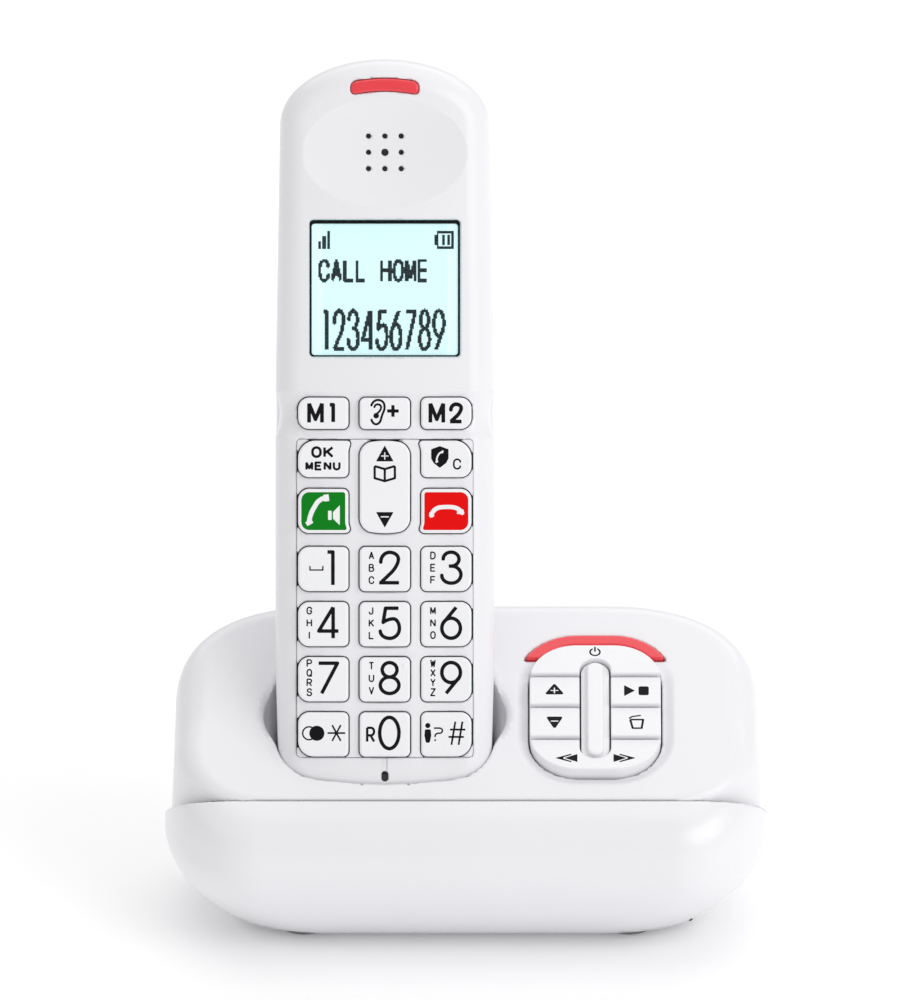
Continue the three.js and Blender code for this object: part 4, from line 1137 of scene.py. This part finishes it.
def make_keys():
    for key in KEYS:
        name, column, low, high = key[:4]
        middle = Matrix.Translation((column * COLUMN, 0, (low + high) / 2))
        corner_low = (column * COLUMN - 6, key_top(key) - 0.1, low - 0.2)
        corner_high = (column * COLUMN + 6, KEY_FOOT + 0.1, high + 0.2)
        piece = mould(f"cap_{name}", key_cap(key), corner_low, corner_high, 0.25, HANDSET)
        clad(piece, KEY_WHITE, f"key_{name}", "white_keys", f"key_{name}")
        tall = (high - low) / 2
        if name in COLOURED:
            sign, material, slot = COLOURED[name]
            mark = coloured_field(key, sign)
        else:
            mark, material, slot = KEY_SIGNS[name], INK, "black_plastic"
        piece = print_film(f"sign_{name}", mark, (-5.4, -tall), (5.4, tall), HANDSET @ middle, key_top(key))
        clad(piece, material, f"key_{name}", slot)
    nib = mould("nib_5", five_nib, (3.9, -1.6, 31.6), (5.3, -0.9, 33.2), 0.1, HANDSET)
    clad(nib, KEY_WHITE, "key_digit_5", "white_keys")


def five_nib(x, y, z):
    """The small raised dot that marks the middle key for the fingertip."""
    return np.sqrt((x - 4.6) ** 2 + ((y + 1.1) * 1.6) ** 2 + (z - 32.4) ** 2) - 0.5


# ------------------------------------------------------------ display and lights
def window_pane(x, y, z):
    surface = face(x, z)
    return both(both(window_outline(x, z), surface + 0.2 - y, 0.15), y - surface - 1.4, 0.1)


def window_border(u, v):
    """The black line printed round the edge of the window, thicker along the top."""
    inner = rectangle(u, v + 0.25, WINDOW_HALF - 0.5, WINDOW_REACH - 0.62, 0.7)
    return np.maximum(window_outline(u, v + WINDOW_MIDDLE), -inner)


def lcd_sheet(x, y, z):
    block = rectangle(x, z - WINDOW_MIDDLE, 17.9, 16.6, 0.6)
    return both(both(block, 2.2 - y, 0.15), y - 6, 0.15)


def lcd_picture(u, v):
    """Signal bars, a battery, a line of words and the digits, which tiles then draw as pixels."""
    bars = [bar(u, v, -15.4 + i, -14.8 + i, 0.0, 1.6 + 1.25 * i) for i in range(3)]
    case = np.maximum(bar(u, v, 12.1, 15.9, -0.1, 4.1), -bar(u, v, 12.5, 15.5, 0.4, 3.6))
    levels = [bar(u, v, 13.3 + 1.2 * i, 13.9 + 1.2 * i, 0.9, 3.1) for i in range(2)]
    return union(
        *bars,
        case,
        *levels,
        bar(u, v, 11.6, 12.2, 0.9, 3.1),
        text(u, v, "CALL HOME", -15.1, -7.5, 1.95, 4.6, 0.38, pitch=2.88),
        text(u, v, "123456789", -15.1, -23.5, 2.3, 9.0, 0.42, pitch=3.32),
    )


def make_display():
    piece = mould("window_pane", window_pane, (-18, 0, 103.8), (18, 3.2, 136.4), 0.35, HANDSET)
    clad(piece, WINDOW, "handset", "display_window", "display_window")
    border = HANDSET @ Matrix.Translation((0, 0, WINDOW_MIDDLE))
    piece = print_film("window_border", window_border, (-17.7, -16.1), (17.7, 16.1), border, 1.9)
    clad(piece, INK, "handset", "black_plastic")
    piece = mould("lcd_sheet", lcd_sheet, (-18.2, 2, 103), (18.2, 6.2, 137), 0.4, HANDSET)
    clad(piece, LCD_SHEET, "handset", "screen", "display_module")
    columns = np.arange(-54, 55) * PIXEL
    rows = np.arange(-82, 16) * PIXEL
    u, v = np.meshgrid(columns, rows)
    spots = np.argwhere(lcd_picture(u, v) < 0.01)
    centres = [(columns[j], PICTURE_Z + rows[i]) for i, j in spots]
    piece = tiles("lcd_pixels", centres, PIXEL * 0.485, 2.12, 2.25, HANDSET)
    clad(piece, LCD_PIXEL, "handset", "black_plastic")


def handset_light(x, y, z):
    return both(both(light_outline(x, z, 0.04), handset(x, y, z) - 0.2, 0.6), y - 5, 0.2)


# ------------------------------------------------------------ small parts
def foot(x, y, z):
    side = np.hypot(x, y) - FOOT_RADIUS
    return both(both(side, z - FOOT_HEIGHT, 0.1), both(-z, side, 0.1), 0.4)


def ear_felt(x, y, z):
    """A dark disc sunk into the wall of the dish behind the ear holes: painted shade that darkens the
    holes.
    """
    surface = face(x, z)
    return both(both(np.hypot(x, z - EAR_Z) - 7, surface + 1.4 - y, 0.1), y - surface - 1.8, 0.1)


def mic_boot(x, y, z):
    """The rubber boot of the handset's microphone, behind its slot. It reaches into the wall round the
    slot, so part of its black is painted shade in the slot.
    """
    block = rectangle(x, z - MIC_Z, 1.4, 1.8, 0.8)
    return both(both(block, 1.0 + face(x, z) - y, 0.2), y - 4.6, 0.2)


def voice_boot(x, d, z):
    """The rubber boot of the base's microphone, which shows at the surface as a black dot: the boot, and
    painted shade for the microphone hole, which is not cut.
    """
    away = (x - VOICE_X) ** 2 + (d - VOICE_D) ** 2 + (z - VOICE_Z) ** 2
    return np.sqrt(away) - VOICE_RADIUS


def make_small_parts():
    """Dark parts in the holes, which paint shade into them (the rubber boots partly, the ear disc wholly),
    the red light in the forehead and the rubber feet.
    """
    # A dark disc inside the ear holes: painted shade for the holes.
    piece = mould("ear_felt", ear_felt, (-7.2, 1.8, 144.4), (7.2, 5.2, 159), 0.3, HANDSET)
    clad(piece, BLACK, "handset", "black_plastic")
    # Black rubber boot, which also paints shade into the microphone slot.
    piece = mould("mic_boot", mic_boot, (-1.6, 0.8, 4.6), (1.6, 4.8, 8.6), 0.2, HANDSET)
    clad(piece, BLACK, "handset", "black_plastic")
    # A black dot at the microphone: rubber boot, and painted shade for the uncut hole.
    low = [middle - 0.7 for middle in (VOICE_X, VOICE_D, VOICE_Z)]
    high = [middle + 0.7 for middle in (VOICE_X, VOICE_D, VOICE_Z)]
    piece = mould("voice_boot", voice_boot, low, high, 0.12, BASE)
    clad(piece, BLACK, "base", "black_plastic")
    piece = mould("call_light", handset_light, (-8.5, -0.2, 163), (8.5, 6, 170.5), 0.25, HANDSET)
    clad(piece, RED_LENS, "handset", "red_lens", "handset_light_bar")
    for corner in ("front_left", "front_right", "rear_left", "rear_right"):
        node = f"foot_{corner}"
        low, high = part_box(node)
        place = Matrix.Translation((Vector(low) + Vector(high)) / 2 / MM)
        place.translation.z = 0
        piece = mould(f"pad_{node}", foot, (-5.2, -5.2, -0.1), (5.2, 5.2, 2.5), 0.3, place)
        clad(piece, RUBBER, "base", "rubber_feet", node)


# CAD nodes that show as they are through gaps or when something is open, except the key mats, whose dark
# grey is painted shade in the gaps round the keys.
FINISHES = (
    (BOARD, ("base_board", "control_board", "handset_board")),
    (BLACK, ("power_socket", "line_socket")),
    (STEEL, ("base_speaker", "earpiece", "loudspeaker", "shell_screw_left", "shell_screw_right")),
    (GOLD, ("charge_contact_left", "charge_contact_right", "charge_pad_left", "charge_pad_right")),
    (SHADE_DARKENED_SILICONE, ("base_key_mat", "handset_key_mat")),
    (SLEEVE, ("battery_cell_left", "battery_cell_right")),
)


def finish_inner_nodes():
    for material, names in FINISHES:
        for name in names:
            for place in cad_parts[name].material_slots:
                place.material = material


# ------------------------------------------------------------ stage
def make_camera():
    camera = bpy.data.cameras.new("camera")
    camera.sensor_fit = "HORIZONTAL"
    camera.sensor_width = 36
    camera.lens = 36 * CAMERA_DISTANCE / WIDTH_SEEN
    camera.clip_end = 50
    holder = bpy.data.objects.new("camera", camera)
    bpy.context.scene.collection.objects.link(holder)
    back = Vector((0, -math.cos(ELEVATION), math.sin(ELEVATION)))
    holder.location = AIM + CAMERA_DISTANCE * back
    holder.rotation_euler = (math.pi / 2 - ELEVATION, 0, 0)
    bpy.context.scene.camera = holder


def make_light(name, place, size, power, aim=(0, 0, 0.08)):
    """A soft box, aimed at the middle of the object unless told otherwise."""
    lamp = bpy.data.lights.new(name, "AREA")
    lamp.shape = "RECTANGLE"
    lamp.size, lamp.size_y = size
    lamp.energy = power
    holder = bpy.data.objects.new(name, lamp)
    bpy.context.scene.collection.objects.link(holder)
    holder.location = place
    holder.rotation_euler = (Vector(aim) - holder.location).to_track_quat("-Z", "Y").to_euler()


def make_stage():
    make_light("key_box", (0.95, -0.85, 0.85), (1.1, 1.0), 7.9)
    make_light("fill_box", (-1.0, -0.6, 0.7), (0.8, 0.8), 0.35)
    make_light("top_box", (0, 0.1, 1.3), (1.2, 0.9), 2.8)
    make_light("back_box", (0, 1.0, 0.9), (2.0, 0.8), 6, aim=(0, 0.9, 0))
    world = bpy.data.worlds.new("studio")
    world.use_nodes = True
    sky = world.node_tree.nodes["Background"]
    sky.inputs["Color"].default_value = (1, 1, 1, 1)
    sky.inputs["Strength"].default_value = 0.6
    bpy.context.scene.world = world
    bpy.context.scene.view_settings.view_transform = "Standard"
    mesh = bpy.data.meshes.new("floor")
    mesh.from_pydata([(-6, -6, 0), (6, -6, 0), (6, 6, 0), (-6, 6, 0)], [], [(0, 1, 2, 3)])
    floor = bpy.data.objects.new("floor", mesh)
    bpy.context.scene.collection.objects.link(floor)
    paper = plastic("floor", (0.95, 0.95, 0.955), 0.6, tint=0.004, bump=0.0)
    glow(paper, (1, 1, 1), 0.1)
    floor.data.materials.append(paper)


make_camera()
make_stage()
make_base_shells()
make_handset_shells()
make_controls()
make_keys()
make_display()
make_small_parts()
finish_inner_nodes()
